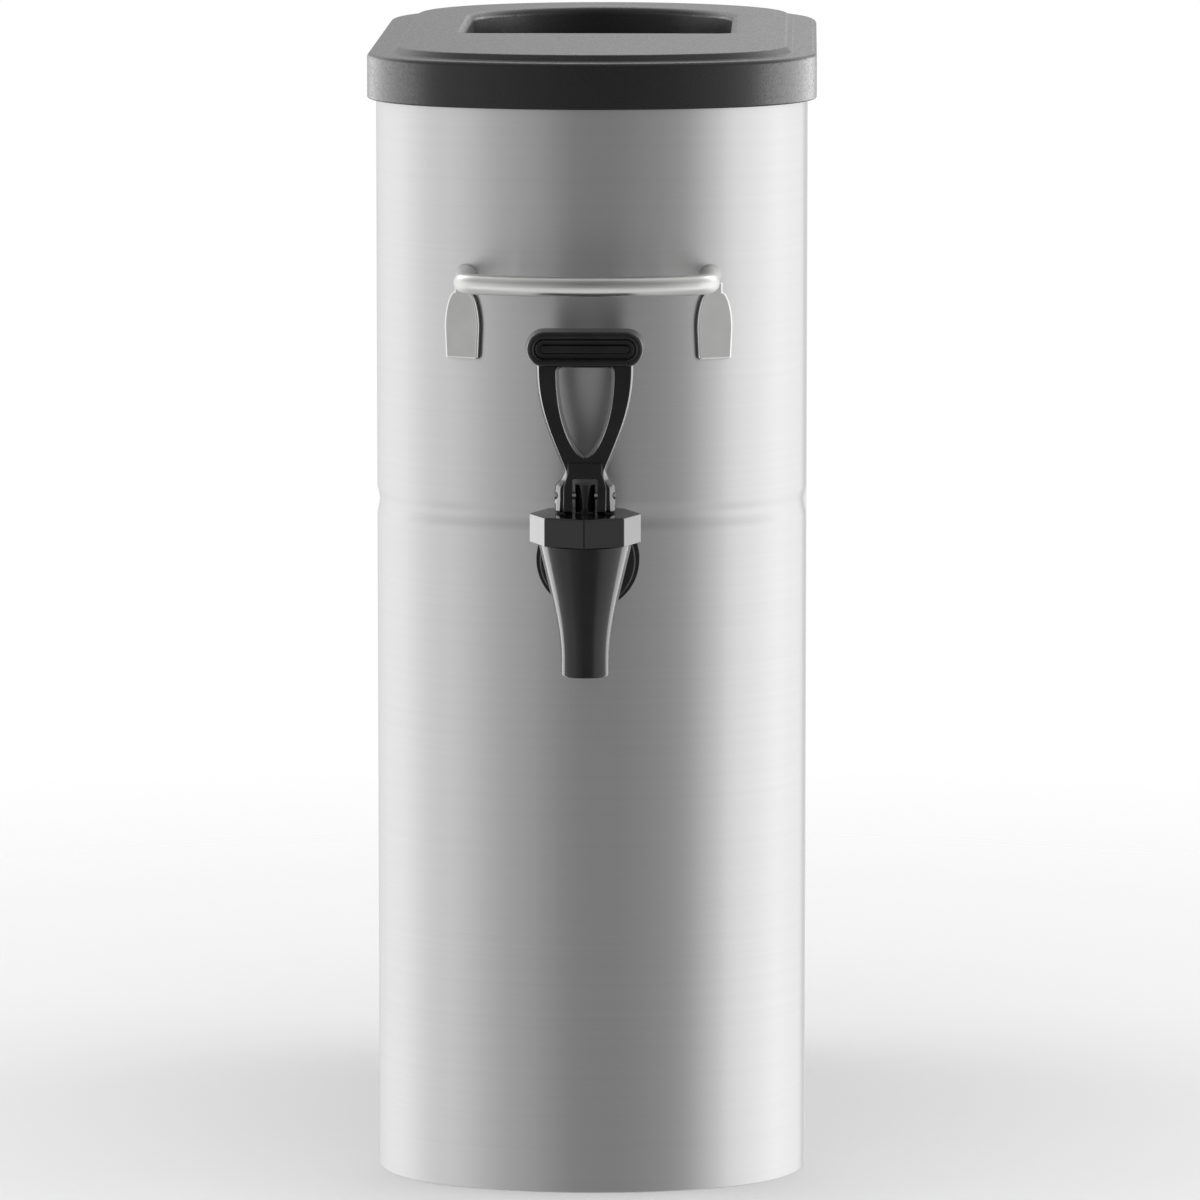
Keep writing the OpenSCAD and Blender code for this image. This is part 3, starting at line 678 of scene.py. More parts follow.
class MaterialMaker:
    """One material: its tree, its Principled shader and the object coordinates that its groups read."""

    def __init__(self, name):
        self.material = bpy.data.materials.new(name)
        self.material.use_nodes = True
        self.tree = self.material.node_tree
        self.shader = self.tree.nodes["Principled BSDF"]
        self.place = self.tree.nodes.new("ShaderNodeTexCoord").outputs["Object"]

    def set(self, **values):
        """Sets constant sockets of the shader."""
        for key, value in values.items():
            self.shader.inputs[key.replace("_", " ")].default_value = value

    def group(self, name, **values):
        """Places a shared node group that reads the object coordinates."""
        made = self.tree.nodes.new("ShaderNodeGroup")
        made.node_tree = bpy.data.node_groups[name]
        self.tree.links.new(self.place, made.inputs["Vector"])
        for key, value in values.items():
            made.inputs[key].default_value = value
        return made.outputs

    def vary_colour(self, mask, tint, dark, light):
        """Base colour that runs from a darker tint to a lighter one with a mask."""
        result = mix_colours(self.tree, mask, shade(tint, dark), shade(tint, light))
        self.tree.links.new(result, self.shader.inputs["Base Color"])

    def vary_roughness(self, mask, low, high):
        """Roughness that runs from low to high with a mask."""
        self.tree.links.new(map_range(self.tree, mask, 0, 1, low, high), self.shader.inputs["Roughness"])

    def bump(self, height, strength, distance):
        """Bump from a height."""
        made = add_node(self.tree, "ShaderNodeBump", Strength=strength, Distance=distance)
        self.tree.links.new(height, made.inputs["Height"])
        self.tree.links.new(made.outputs["Normal"], self.shader.inputs["Normal"])

    def tangent_round(self):
        """Brushing that runs round the upright axis."""
        made = self.tree.nodes.new("ShaderNodeTangent")
        made.direction_type = "RADIAL"
        made.axis = "Z"
        self.tree.links.new(made.outputs["Tangent"], self.shader.inputs["Tangent"])


def shade(tint, factor):
    """A colour with alpha, made darker or lighter and limited to white."""
    return tuple(min(1.0, c * factor) for c in tint) + (1.0,)


def make_sheet_steel(name, tint):
    """Sheet steel brushed round the body."""
    maker = MaterialMaker(name)
    brush = maker.group("brush_lines", Along=7.0, Across=2600.0)
    maker.set(Metallic=1.0, Anisotropic=0.8, Anisotropic_Rotation=0.25)
    mixed = math_node(maker.tree, "ADD", brush["Lines"], brush["Bands"])
    blend = math_node(maker.tree, "MULTIPLY", mixed, 0.5)
    maker.vary_colour(blend, tint, 0.93, 1.07)
    maker.vary_roughness(brush["Lines"], 0.26, 0.36)
    maker.bump(brush["Lines"], 0.05, 0.05 * MM)
    maker.tangent_round()


def make_rod_steel(name, tint):
    """Satin steel of the rods and the spring."""
    maker = MaterialMaker(name)
    brush = maker.group("brush_lines", Along=120.0, Across=900.0)
    maker.set(Metallic=1.0)
    maker.vary_colour(brush["Bands"], tint, 0.90, 1.08)
    maker.vary_roughness(brush["Lines"], 0.24, 0.42)
    maker.bump(brush["Lines"], 0.06, 0.06 * MM)


def make_tab_steel(name, tint):
    """Plate of the weld tabs, also in a lighter tint as a painted highlight on its rounded edges and a near-black
    tint as painted shade on its sides.
    """
    maker = MaterialMaker(name)
    brush = maker.group("brush_lines", Along=500.0, Across=500.0)
    maker.set(Metallic=1.0)
    maker.vary_colour(brush["Bands"], tint, 0.90, 1.10)
    maker.vary_roughness(brush["Lines"], 0.30, 0.42)
    maker.bump(brush["Lines"], 0.08, 0.06 * MM)


def make_lid_plastic(name, tint):
    """Black plastic whose fine moulded grain breaks up its gloss."""
    maker = MaterialMaker(name)
    grain = maker.group("moulded_grain", Grain=1200.0, Marks=26.0)
    maker.set(IOR=1.5)
    maker.vary_colour(grain["Marks"], tint, 0.9, 1.12)
    maker.vary_roughness(grain["Pebbles"], 0.12, 0.60)
    maker.bump(grain["Pebbles"], 0.35, 0.10 * MM)


def make_tap_plastic(name, tint):
    """Glossy black plastic of the tap."""
    maker = MaterialMaker(name)
    grain = maker.group("moulded_grain", Grain=700.0, Marks=90.0)
    maker.set(IOR=1.5)
    maker.vary_colour(grain["Marks"], tint, 0.8, 1.3)
    maker.vary_roughness(grain["Marks"], 0.10, 0.18)
    maker.bump(grain["Pebbles"], 0.02, 0.05 * MM)


def make_rubber(name, tint):
    """Matte black rubber."""
    maker = MaterialMaker(name)
    grain = maker.group("moulded_grain", Grain=2200.0, Marks=120.0)
    maker.vary_colour(grain["Marks"], tint, 0.8, 1.5)
    maker.vary_roughness(grain["Marks"], 0.55, 0.72)
    maker.bump(grain["Pebbles"], 0.15, 0.05 * MM)


def make_silicone(name, tint):
    """Milky silicone."""
    maker = MaterialMaker(name)
    grain = maker.group("moulded_grain", Grain=1800.0, Marks=150.0)
    maker.set(Subsurface_Weight=0.25, Subsurface_Scale=0.002)
    maker.vary_colour(grain["Marks"], tint, 0.92, 1.06)
    maker.vary_roughness(grain["Marks"], 0.35, 0.5)
    maker.bump(grain["Pebbles"], 0.1, 0.04 * MM)


def finishes():
    """Every finish by name, made once."""
    tints = bpy.context.scene.dispenser_finishes
    makers = {
        "brushed_sheet_steel": (make_sheet_steel, tints.sheet),
        "satin_rod_steel": (make_rod_steel, tints.rod),
        "dull_tab_steel": (make_tab_steel, tints.tab),
        # Lighter and darker copies of the tab steel: a painted highlight on the tabs' edges and painted shade on
        # their sides
        "polished_tab_edge": (make_tab_steel, tints.tab_edge),
        "sheared_tab_side": (make_tab_steel, tints.tab_side),
        "grained_lid_plastic": (make_lid_plastic, tints.lid),
        "glossy_tap_plastic": (make_tap_plastic, tints.tap),
        "gasket_rubber": (make_rubber, tints.rubber),
        "milky_silicone": (make_silicone, tints.silicone),
    }
    for name, (make, tint) in makers.items():
        if name not in bpy.data.materials:
            make(name, tint)
    return {name: bpy.data.materials[name] for name in makers}


# Operators


class DISPENSER_OT_finishes(bpy.types.Operator):
    """Make the shared node groups and the materials"""

    bl_idname = "dispenser.finishes"
    bl_label = "Make finishes"

    def execute(self, context):
        if "brush_lines" not in bpy.data.node_groups:
            make_brushing()
        if "moulded_grain" not in bpy.data.node_groups:
            make_moulding()
        finishes()
        return {"FINISHED"}


def bead_dip(body, z):
    """Depth of the pressed-in bead at a height."""
    away = abs(z - body.bead_z) / (body.bead_h / 2)
    return body.bead_depth * (1 + math.cos(math.pi * away)) / 2 if away < 1 else 0.0


def bead_levels(body):
    """Heights that follow the bead's curve, from low to high."""
    return [body.bead_z + body.bead_h * (k / CURVE_STEPS - 0.5) for k in range(CURVE_STEPS + 1)]


def shell_section(body):
    """Closed section of the wall: outer face, folded rim, inner face."""
    top = body.height
    sheet = body.sheet
    edge = 0.3 * sheet
    outer = [(-bead_dip(body, z), z) for z in bead_levels(body)]
    rim = fillet([(0, top - body.rim_fold, 0), (0, top, 0.9 * sheet), (-2 * sheet, top, 0.9 * sheet),
                  (-2 * sheet, top - body.rim_fold, edge), (-sheet, top - body.rim_fold, 0)], closed=False)
    inner = [(out - sheet, z) for out, z in reversed(outer)]
    foot = fillet([(-sheet, edge * 4, 0), (-sheet, 0, edge), (0, 0, edge), (0, edge * 4, 0)], closed=False)
    return [tuple(p) for p in foot] + outer + [tuple(p) for p in rim] + inner


class DISPENSER_OT_body(bpy.types.Operator):
    """Build the brushed steel wall, the foot ring and the tank floor"""

    bl_idname = "dispenser.body"
    bl_label = "Build body"

    # Steps of the bend between the tank's floor and its wall
    bend_steps = 6

    def execute(self, context):
        body = context.scene.dispenser_body
        tap = context.scene.dispenser_tap
        steel = finishes()["brushed_sheet_steel"]
        stations = plan_stations(body)

        def along_hole(p):
            return Vector((p.x, p.z - body.depth / 2, p.y + tap.shank_z))

        shell = solid("steel_shell", sweep, stations, shell_section(body))
        hole_r = tap.shank_d / 2 + tap.hole_gap
        reach = tap.reach
        hole = [(0, -reach), (hole_r, -reach), (hole_r, reach), (0, reach)]
        combine(shell, solid("shank_hole", turn_section, hole, along_hole), "DIFFERENCE")
        finish_piece(shell, "body_shell", steel, flat_faces=False)

        sheet = body.sheet
        inside = -sheet - FIT_GAP
        edge = 0.3 * sheet
        upper_edge = 0.4 * sheet
        ring = fillet([
            (inside, 0, edge), (inside, body.ring_h, upper_edge), (inside - sheet, body.ring_h, upper_edge),
            (inside - sheet, sheet, 2 * sheet), (inside - body.ring_w, sheet, edge),
            (inside - body.ring_w, 0, edge)])
        finish_piece(solid("foot_ring", sweep, stations, ring), "base_ring", steel)
        pan = solid("tank_pan", self.tank_pan, body, stations, inside)
        finish_piece(pan, "tank_floor", steel, flat_faces=False)
        return {"FINISHED"}

    def tank_pan(self, bm, body, stations, inside):
        """Pan whose bottom falls towards the tap, with an upturned wall."""
        sheet = body.sheet
        low = PAN_LOW.z + 2 * sheet
        front = -body.depth / 2

        def slope_loop(out, above):
            return [Vector((p.x, p.y, low + above + body.floor_rise * (p.y - front) / body.depth))
                    for p in plan_loop(stations, out, 0)]

        def bend_loops(out, radius, above):
            return [slope_loop(out - radius * (1 - math.sin(t)), above + radius * (1 - math.cos(t)))
                    for t in quarter_turn(self.bend_steps)]

        bend = 3 * sheet
        top = PAN_HIGH.z
        inner = bend_loops(inside - sheet, bend, 0)
        outer = bend_loops(inside, bend + sheet, -sheet)
        rim = [plan_loop(stations, inside - sheet, top), plan_loop(stations, inside, top)]
        floor_in = slope_loop(inside - sheet - 3 * bend, 0)
        floor_out = slope_loop(inside - sheet - 3 * bend, -sheet)
        tube_between(bm, [floor_in] + inner + rim + list(reversed(outer)) + [floor_out])


def recess_loop(lid, body, out, z):
    """Points round the hand recess: a straight front with small corners and a half-round back."""
    half = lid.recess_w / 2
    front_y = lid.recess_front - body.depth / 2
    back_cy = front_y + lid.recess_l - half
    r = lid.recess_corner_r
    points = []
    corner_steps = 12
    back_steps = 72
    arcs = (
        (half - r, front_y + r, r, -90, 0, corner_steps),
        (0, back_cy, half, 0, 180, back_steps),
        (r - half, front_y + r, r, 180, 270, corner_steps),
    )
    for cx, cy, radius, start, end, steps in arcs:
        for k in range(steps + 1):
            a = math.radians(start + (end - start) * k / steps)
            points.append(Vector((cx + (radius + out) * math.cos(a), cy + (radius + out) * math.sin(a), z)))
    return points


class DISPENSER_OT_lid(bpy.types.Operator):
    """Build the moulded lid with its raised panel and hand recess"""

    bl_idname = "dispenser.lid"
    bl_label = "Build lid"

    # Radii of the moulding's smaller edges, and the lean of the recess's wall
    foot_r = 0.9 * MM
    hem_r = 0.7 * MM
    inner_r = 0.8 * MM
    root_r = 1.2 * MM
    bowl_r = 4 * MM
    bowl_root_r = 1.5 * MM
    bowl_lean = 0.8 * MM
    floor_inset = 0.6 * MM

    def execute(self, context):
        body = context.scene.dispenser_body
        lid = context.scene.dispenser_lid
        made = solid("moulded_lid", self.moulding, body, lid)
        finish_piece(made, "lid", finishes()["grained_lid_plastic"])
        return {"FINISHED"}

    def moulding(self, bm, body, lid):
        """Skirt, ledge and raised panel round the plan, and the recess let into the panel."""
        stations = plan_stations(body)
        rim = body.height
        ledge = rim + lid.ledge_t
        top = LID_HIGH.z
        under = top - lid.wall
        skirt = lid.overhang
        panel_foot = skirt - lid.ledge_w
        panel_edge = panel_foot - lid.slope
        flat = 4 * lid.wall
        hem = rim - lid.skirt
        inside = panel_edge - lid.wall
        section = fillet([
            (panel_edge - flat, top, 0), (panel_edge, top, lid.panel_r), (panel_foot, ledge, self.foot_r),
            (skirt, ledge, lid.edge_r), (skirt, hem, self.hem_r), (skirt - lid.wall, hem, self.hem_r),
            (skirt - lid.wall, rim, self.inner_r), (inside, rim, self.root_r), (inside, under, self.inner_r),
            (inside - flat, under, 0)], closed=False)
        loops = [loop_of(bm, plan_loop(stations, out, z)) for out, z in section]
        bridge_all(bm, loops)

        floor = LID_LOW.z + lid.wall
        inner = lid.recess_corner_r - self.floor_inset
        bowl = fillet([
            (flat, top, 0), (0, top, lid.lip_r), (-self.bowl_lean, floor, self.bowl_r),
            (-inner, floor, 0)], closed=False)
        back = fillet([
            (-inner, floor - lid.wall, 0), (lid.wall - self.bowl_lean, floor - lid.wall, self.bowl_r),
            (lid.wall, under, self.bowl_root_r), (flat + lid.wall, under, 0)], closed=False)
        bowl_loops = [loop_of(bm, recess_loop(lid, body, out, z)) for out, z in bowl]
        back_loops = [loop_of(bm, recess_loop(lid, body, out, z)) for out, z in back]
        bridge_all(bm, bowl_loops)
        bridge_all(bm, back_loops)
        bm.faces.new(bowl_loops[-1])
        bm.faces.new(back_loops[0])
        fill_flat(bm, loops[0], bowl_loops[0])
        fill_flat(bm, loops[-1], back_loops[-1])


class DISPENSER_OT_handles(bpy.types.Operator):
    """Build the rod handles and weld tabs at the front and the back"""

    bl_idname = "dispenser.handles"
    bl_label = "Build handles"

    # Sides of the rod, and the steps of each bend and of half the bow
    sides = 28
    bend_steps = 12
    bow_steps = 20
    # The weld's flare: distance from the wall, and share of the weld's size
    flare = ((-0.4 * MM, 1.0), (0.1 * MM, 0.72), (0.5 * MM, 0.4), (1.1 * MM, 0.12), (2 * MM, 0))
    # How squarely a tab's face has to look outwards to count as its flat front, and as an edge, not a side
    flat_share = 0.99
    side_share = 0.15
    # Gap between a tab and the wall, and the radii of its edges at the wall and its foot's and neck's corners
    tab_gap = 0.05 * MM
    back_r = 0.4 * MM
    foot_r = 1.2 * MM
    neck_r = 1 * MM

    def execute(self, context):
        body = context.scene.dispenser_body
        sizes = context.scene.dispenser_handles
        made = finishes()
        for label, end in (("front", -1), ("rear", 1)):
            rod = solid(f"{label}_rod", tube_between, self.rod_loops(body, sizes, end))
            finish_piece(rod, f"{label}_handle", made["satin_rod_steel"], flat_faces=False)
            for side_label, side in (("left", -1), ("right", 1)):
                x = ROD_SPAN.x / 2 - sizes.rod_d / 2 + sizes.tab_shift
                wall_y, lean = wall_at(body, x, end)
                foot = Vector((side * x, wall_y, TAB_LOW.z + sizes.tab_h))
                out = Vector((math.sin(lean) * side, math.cos(lean) * end, 0))
                along = Vector((math.cos(lean), -math.sin(lean) * side * end, 0))
                tab = solid(f"{label}_weld_tab_{side_label}", self.tab, sizes, foot, out, along)
                finish_piece(tab, f"{label}_tab_{side_label}", made["dull_tab_steel"])
                # Painted highlight on the tab's rounded edges and painted shade on its sides
                self.paint_tab_edge_light_and_side_shade(tab.data, out)
        return {"FINISHED"}

    def paint_tab_edge_light_and_side_shade(self, mesh, out):
        """Paints a highlight on a tab's rounded front edges and shade on its sides, with lighter and darker copies
        of its steel.
        """
        for name in ("polished_tab_edge", "sheared_tab_side"):
            mesh.materials.append(finishes()[name])
        for face in mesh.polygons:
            ahead = face.normal.dot(out)
            if abs(ahead) < self.flat_share:
                face.material_index = 1 if ahead > self.side_share else 2

    def rod_loops(self, body, sizes, end):
        """Loops along the rod from its left end to its right end, flared where it is welded."""
        r = sizes.rod_d / 2
        z = ROD_Z
        leg_x = ROD_SPAN.x / 2 - r
        reach = BODY_LOW.y - ROD_LOW.y - r
        bend_x = leg_x - sizes.bend_r
        bow_y = body.depth / 2 + reach - sizes.bow_r
        gap = sizes.bow_r - sizes.bend_r
        bow_turn = math.asin(bend_x / gap)
        bend_y = bow_y + gap * math.cos(bow_turn)
        turns = full_turn(self.sides)

        def leg(side):
            loops = []
            for away, share in self.flare:
                ring_r = r + sizes.weld * share
                ring = []
                for b in turns:
                    x = side * leg_x + side * ring_r * math.cos(b)
                    ring.append(Vector((x, wall_at(body, x, end)[0] + end * away, z + ring_r * math.sin(b))))
                loops.append(ring)
            return loops

        def bent(cx, cy, radius, turn):
            out = Vector((math.cos(turn), math.sin(turn) * end, 0))
            past = Vector((radius * math.cos(turn), radius * math.sin(turn) * end, 0))
            at = Vector((cx, cy * end, z)) + past
            return [at + out * (r * math.cos(b)) + Vector((0, 0, r * math.sin(b))) for b in turns]

        right = math.pi / 2
        bend_turn = right - bow_turn
        bend_range = range(self.bend_steps + 1)
        bow_range = range(1, 2 * self.bow_steps)
        path = [bent(-bend_x, bend_y, sizes.bend_r, 2 * right - bend_turn * k / self.bend_steps)
                for k in bend_range]
        path += [bent(0, bow_y, sizes.bow_r, right + bow_turn * (1 - k / self.bow_steps)) for k in bow_range]
        path += [bent(bend_x, bend_y, sizes.bend_r, right - bow_turn - bend_turn * k / self.bend_steps)
                 for k in bend_range]
        return leg(-1) + path + list(reversed(leg(1)))

    def tab(self, bm, sizes, foot_point, out, along):
        """Spade-shaped tab: flat foot, arched shoulders and a neck that runs up to the rod."""
        tall = sizes.tab_h
        half = sizes.tab_w / 2
        foot_half = 0.92 * half
        neck = sizes.tab_neck / 2
        neck_low = tall / 12
        neck_top = ROD_Z - 0.3 * sizes.rod_d - (TAB_LOW.z + tall)
        shoulder = bezier((half, -tall / 2), (half, -tall / 5), (0.72 * half, tall / 16), (neck, neck_low))
        foot = fillet([(-half, -tall / 2, 0), (-foot_half, -tall, self.foot_r),
                       (foot_half, -tall, self.foot_r), (half, -tall / 2, 0)], closed=False)
        top = fillet([(neck, neck_low, 0), (neck, neck_top, self.neck_r), (-neck, neck_top, self.neck_r),
                      (-neck, neck_low, 0)], closed=False)
        outline = foot[:-1] + shoulder + top + mirrored(shoulder)[:-1]

        def place(p):
            return foot_point + along * p.x + Vector((0, 0, p.y)) + out * p.z

        edge = rounded_edge(self.tab_gap, sizes.tab_t, self.back_r, sizes.tab_edge)
        plate(bm, outline, [], edge, place)


def tap_axis(scene):
    """Where the tap's upright axis stands in front of the body."""
    return -scene.dispenser_body.depth / 2 - scene.dispenser_tap.reach


class DISPENSER_OT_tap_body(bpy.types.Operator):
    """Build the tap's tapered body with its shank and flange"""

    bl_idname = "dispenser.tap_body"
    bl_label = "Build tap body"

    # Bevel under the bonnet, radius of the spout's tip, bevel of its mouth, and the radii of the shank's
    # root, of the flange's front and back edges and of the shank's end
    bowl_edge = 0.6 * MM
    tip_r = 0.7 * MM
    mouth_bevel = 0.5 * MM
    shank_radii = (2 * MM, 0.8 * MM, 0.3 * MM, 0.6 * MM)
    # Where the taper is steered and where it ends, as shares of the height under the bonnet
    taper_shares = (0.31, 0.61, 0.88)

    def execute(self, context):
        body = context.scene.dispenser_body
        tap = context.scene.dispenser_tap
        axis_y = tap_axis(context.scene)
        tip = TAP_LOW.z
        collar = TAP_HIGH.z
        bowl = BONNET_LOW.z
        tall = bowl - tip
        wide = tap.bowl_d / 2
        slim = tap.spout_d / 2
        seat = tap.seat_z

        def upright(p):
            return Vector((p.x, p.y + axis_y, p.z))

        def along_shank(p):
            return Vector((p.x, p.z, p.y + tap.shank_z))

        first, second, taper_end = [bowl - share * tall for share in self.taper_shares]
        taper = bezier((wide, bowl - self.bowl_edge), (0.6 * wide + 0.4 * slim, first), (slim, second),
                       (slim, taper_end))
        tip_edge = fillet([(slim, taper_end, 0), (slim, tip, self.tip_r), (0, tip, 0)], closed=False)
        collar_r = tap.collar_d / 2
        section = [(0, collar), (collar_r, collar), (collar_r, bowl), (wide - self.bowl_edge, bowl)]
        cone = solid("tap_cone", turn_section, section + [tuple(p) for p in taper + tip_edge], upright)

        flange_back = -body.depth / 2 - tap.gasket_t
        flange_front = flange_back - tap.flange_t
        shank_end = TAP_HIGH.y
        shank_r = tap.shank_d / 2
        flange_r = tap.flange_d / 2
        root_r, front_r, back_r, end_r = self.shank_radii
        shank = fillet([
            (0, axis_y, 0), (shank_r, axis_y, 0), (shank_r, flange_front, root_r),
            (flange_r, flange_front, front_r), (flange_r, flange_back, back_r), (shank_r, flange_back, 0),
            (shank_r, shank_end, end_r), (0, shank_end, 0)], closed=False)
        combine(cone, solid("shank", turn_section, [tuple(p) for p in shank], along_shank), "UNION")

        chamber_r = tap.chamber_d / 2
        bore_r = tap.spout_bore_d / 2
        mouth_r = bore_r + self.mouth_bevel
        over = collar + CUT_PAST
        under = tip - CUT_PAST
        hollow = [(0, over), (chamber_r, over), (chamber_r, bowl), (tap.seat_d / 2, seat), (bore_r, seat),
                  (bore_r, tip + self.mouth_bevel), (mouth_r, tip), (mouth_r, under), (0, under)]
        combine(cone, solid("hollow", turn_section, hollow, upright), "DIFFERENCE")
        shank_bore_r = tap.shank_bore_d / 2
        past = shank_end + CUT_PAST
        bore = [(0, axis_y), (shank_bore_r, axis_y), (shank_bore_r, past), (0, past)]
        combine(cone, solid("shank_bore", turn_section, bore, along_shank), "DIFFERENCE")
        finish_piece(cone, "faucet_body", finishes()["glossy_tap_plastic"])
        dress_node("outer_gasket", finishes()["gasket_rubber"])
        return {"FINISHED"}


class DISPENSER_OT_bonnet(bpy.types.Operator):
    """Build the octagonal bonnet with one corner to the front"""

    bl_idname = "dispenser.bonnet"
    bl_label = "Build bonnet"

    # Radius of the bonnet's foot, and clearance round the stem
    foot_r = 0.35 * MM
    stem_gap = 0.06 * MM

    def execute(self, context):
        tap = context.scene.dispenser_tap
        axis_y = tap_axis(context.scene)
        foot = BONNET_LOW.z
        top = BONNET_HIGH.z
        corner = (BONNET_HIGH.x - BONNET_LOW.x) / 2
        octagon = fillet([(corner * math.cos(a), corner * math.sin(a), tap.corner_r) for a in full_turn(8)])
        bore = tap.stem_d / 2 + self.stem_gap
        hole = [Vector((bore * math.cos(a), bore * math.sin(a))) for a in full_turn(HOLE_STEPS)]

        def upright(p):
            return Vector((p.x, p.y + axis_y, p.z))

        edge = rounded_edge(foot, top, self.foot_r, tap.edge_r)
        bonnet = solid("octagon_bonnet", plate, octagon, [hole], edge, upright)
        collar_r = tap.collar_d / 2 + FIT_GAP
        chamber_r = tap.chamber_d / 2
        shoulder = TAP_HIGH.z + tap.seal_t
        ceiling = top - tap.bonnet_top
        under = foot - CUT_PAST
        hollow = [(0, under), (collar_r, under), (collar_r, shoulder), (chamber_r, shoulder),
                  (chamber_r, ceiling), (0, ceiling)]
        combine(bonnet, solid("bonnet_hollow", turn_section, hollow, upright), "DIFFERENCE")
        finish_piece(bonnet, "faucet_bonnet", finishes()["glossy_tap_plastic"])
        return {"FINISHED"}


class DISPENSER_OT_lever(bpy.types.Operator):
    """Build the lever: forked hub, two arms round a window and a dished grip bar"""

    bl_idname = "dispenser.lever"
    bl_label = "Build lever"

    # Width of each ear beside the hub's cam, and how far the hub and its boss stand past the arms
    ear_t = 3.6 * MM
    hub_past = 1 * MM
    # Half width of the window's pointed foot, and radius of its top corners
    window_tip = 0.25 * MM
    window_r = 1.6 * MM
    # Steps round each end of the grip bar, and radii of the slot's top, the ears' feet and the boss's corners
    end_steps = 24
    slot_r = 1 * MM
    foot_r = 0.8 * MM
    boss_r = 2 * MM
    boss_top_r = 1 * MM
    boss_foot_r = 0.5 * MM
    # Radii of the hub's side view: its rear foot, its back and its front
    hub_radii = (0.6 * MM, 1.5 * MM, 2 * MM)
    # How far the boss stays inside the neck, below its level, and above the ears' feet
    boss_inset = 1.6 * MM
    boss_drop = 1 * MM
    boss_rise = 0.3 * MM
    # Section of the grip bar: inset of its back face's edge, lean of its sides, where the slope into the dish
    # starts and ends beside the rim's width, the run of the rib's slope, and the flat on the rib
    back_inset = 4 * MM
    side_lean = 0.7 * MM
    slope_start = 0.3 * MM
    slope_end = 0.6 * MM
    rib_slope = 0.5 * MM
    rib_flat = 0.7 * MM
    # Radii of the grip bar's back edge, front edge, dish's lip, dish's foot and rib
    grip_radii = (1.6 * MM, 1.4 * MM, 1 * MM, 0.9 * MM, 0.4 * MM)

    def execute(self, context):
        tap = context.scene.dispenser_tap
        lever = context.scene.dispenser_lever
        axis_y = tap_axis(context.scene)
        front = lever.arm_t / 2

        def facing(p):
            return Vector((p.x, axis_y - p.z, p.y + PIN_Z))

        def sideways(p):
            return Vector((p.z, axis_y + p.x, p.y + PIN_Z))

        edge = lever.arm_edge
        bevel = lever.arm_bevel
        steps = [(edge, -front), (0.3 * edge, 0.3 * edge - front), (0, edge - front), (0, 0),
                 (0, front - lever.arm_bevel_deep), (bevel, front - 0.4 * edge),
                 (bevel + 0.15 * edge, front - 0.1 * edge), (bevel + 0.5 * edge, front)]
        arms = solid("tap_lever_arms", self.arms, lever, steps, axis_y, facing)
        combine(arms, solid("grip", self.grip, lever, facing), "UNION")
        half = lever.hub_w / 2
        inner = half - self.ear_t
        hub_edge = rounded_edge(-inner, inner, edge, edge)
        combine(arms, solid("hub", plate, self.hub_side(lever), [], hub_edge, sideways), "UNION")
        boss_edge = rounded_edge(0, front + self.hub_past, edge, edge)
        combine(arms, solid("boss", plate, self.boss_outline(lever), [], boss_edge, facing), "UNION")

        slot = tap.stem_d / 2 + lever.head_gap
        ceiling = math.hypot(tap.stem_d / 2, STEM_HIGH.z - PIN_Z) + lever.head_gap
        deep = lever.grip_t
        slot_outline = fillet([(-slot, -deep, 0), (slot, -deep, 0), (slot, ceiling, self.slot_r),
                               (-slot, ceiling, self.slot_r)])
        combine(arms, solid("slot", plate, slot_outline, [], [(0, -deep), (0, deep)], facing), "DIFFERENCE")
        pin_r = (PIN_HIGH.z - PIN_LOW.z) / 2 + lever.pin_gap
        far = 2 * half
        pin_hole = [(0, -far), (pin_r, -far), (pin_r, far), (0, far)]
        combine(arms, solid("pin_hole", turn_section, pin_hole, sideways, HOLE_STEPS), "DIFFERENCE")
        finish_piece(arms, "tap_lever", finishes()["glossy_tap_plastic"])
        return {"FINISHED"}

    def arms(self, bm, lever, steps, axis_y, facing):
        """The arms round their window, with the neck and the ears."""
        plate(bm, self.arms_outline(lever), [self.window_outline(lever)], steps, facing)
        self.taper_ears(bm, lever, axis_y)

    def arms_outline(self, lever):
        """Outline of the arms, the neck and the hub's shoulders, seen from the front."""
        half = lever.arm_w / 2
        neck = lever.neck_w / 2
        hub = lever.hub_w / 2
        foot = LEVER_LOW.z - PIN_Z
        arm_h = lever.arm_h
        neck_h = lever.neck_h
        ear = (hub, lever.hub_h * 0.7)
        bulge = lever.neck_w * 0.83
        outer = bezier((half, arm_h), (half, arm_h * 0.68), (bulge, arm_h * 0.47), (neck, neck_h))
        shoulder = bezier((neck, neck_h), (neck, neck_h * 0.62), (hub, lever.hub_h * 1.3), ear, 10)
        side = [Vector((half, arm_h + lever.grip_h / 3))] + outer + shoulder
        side += fillet([(*ear, 0), (hub, foot, self.foot_r), (0, foot, 0)], closed=False)[:-1]
        return side + mirrored(side)

    def boss_outline(self, lever):
        """Outline of the raised boss that carries the ears' front faces."""
        neck = lever.neck_w / 2 - self.boss_inset
        wide = lever.hub_w / 2 - self.ear_t
        foot = LEVER_LOW.z - PIN_Z + self.boss_rise
        right = [(wide, foot, self.boss_foot_r), (wide, lever.hub_h, self.boss_r),
                 (neck, lever.neck_h - self.boss_drop, self.boss_r), (neck, lever.boss_h, self.boss_top_r)]
        return fillet(right + [(-x, y, r) for x, y, r in reversed(right)])

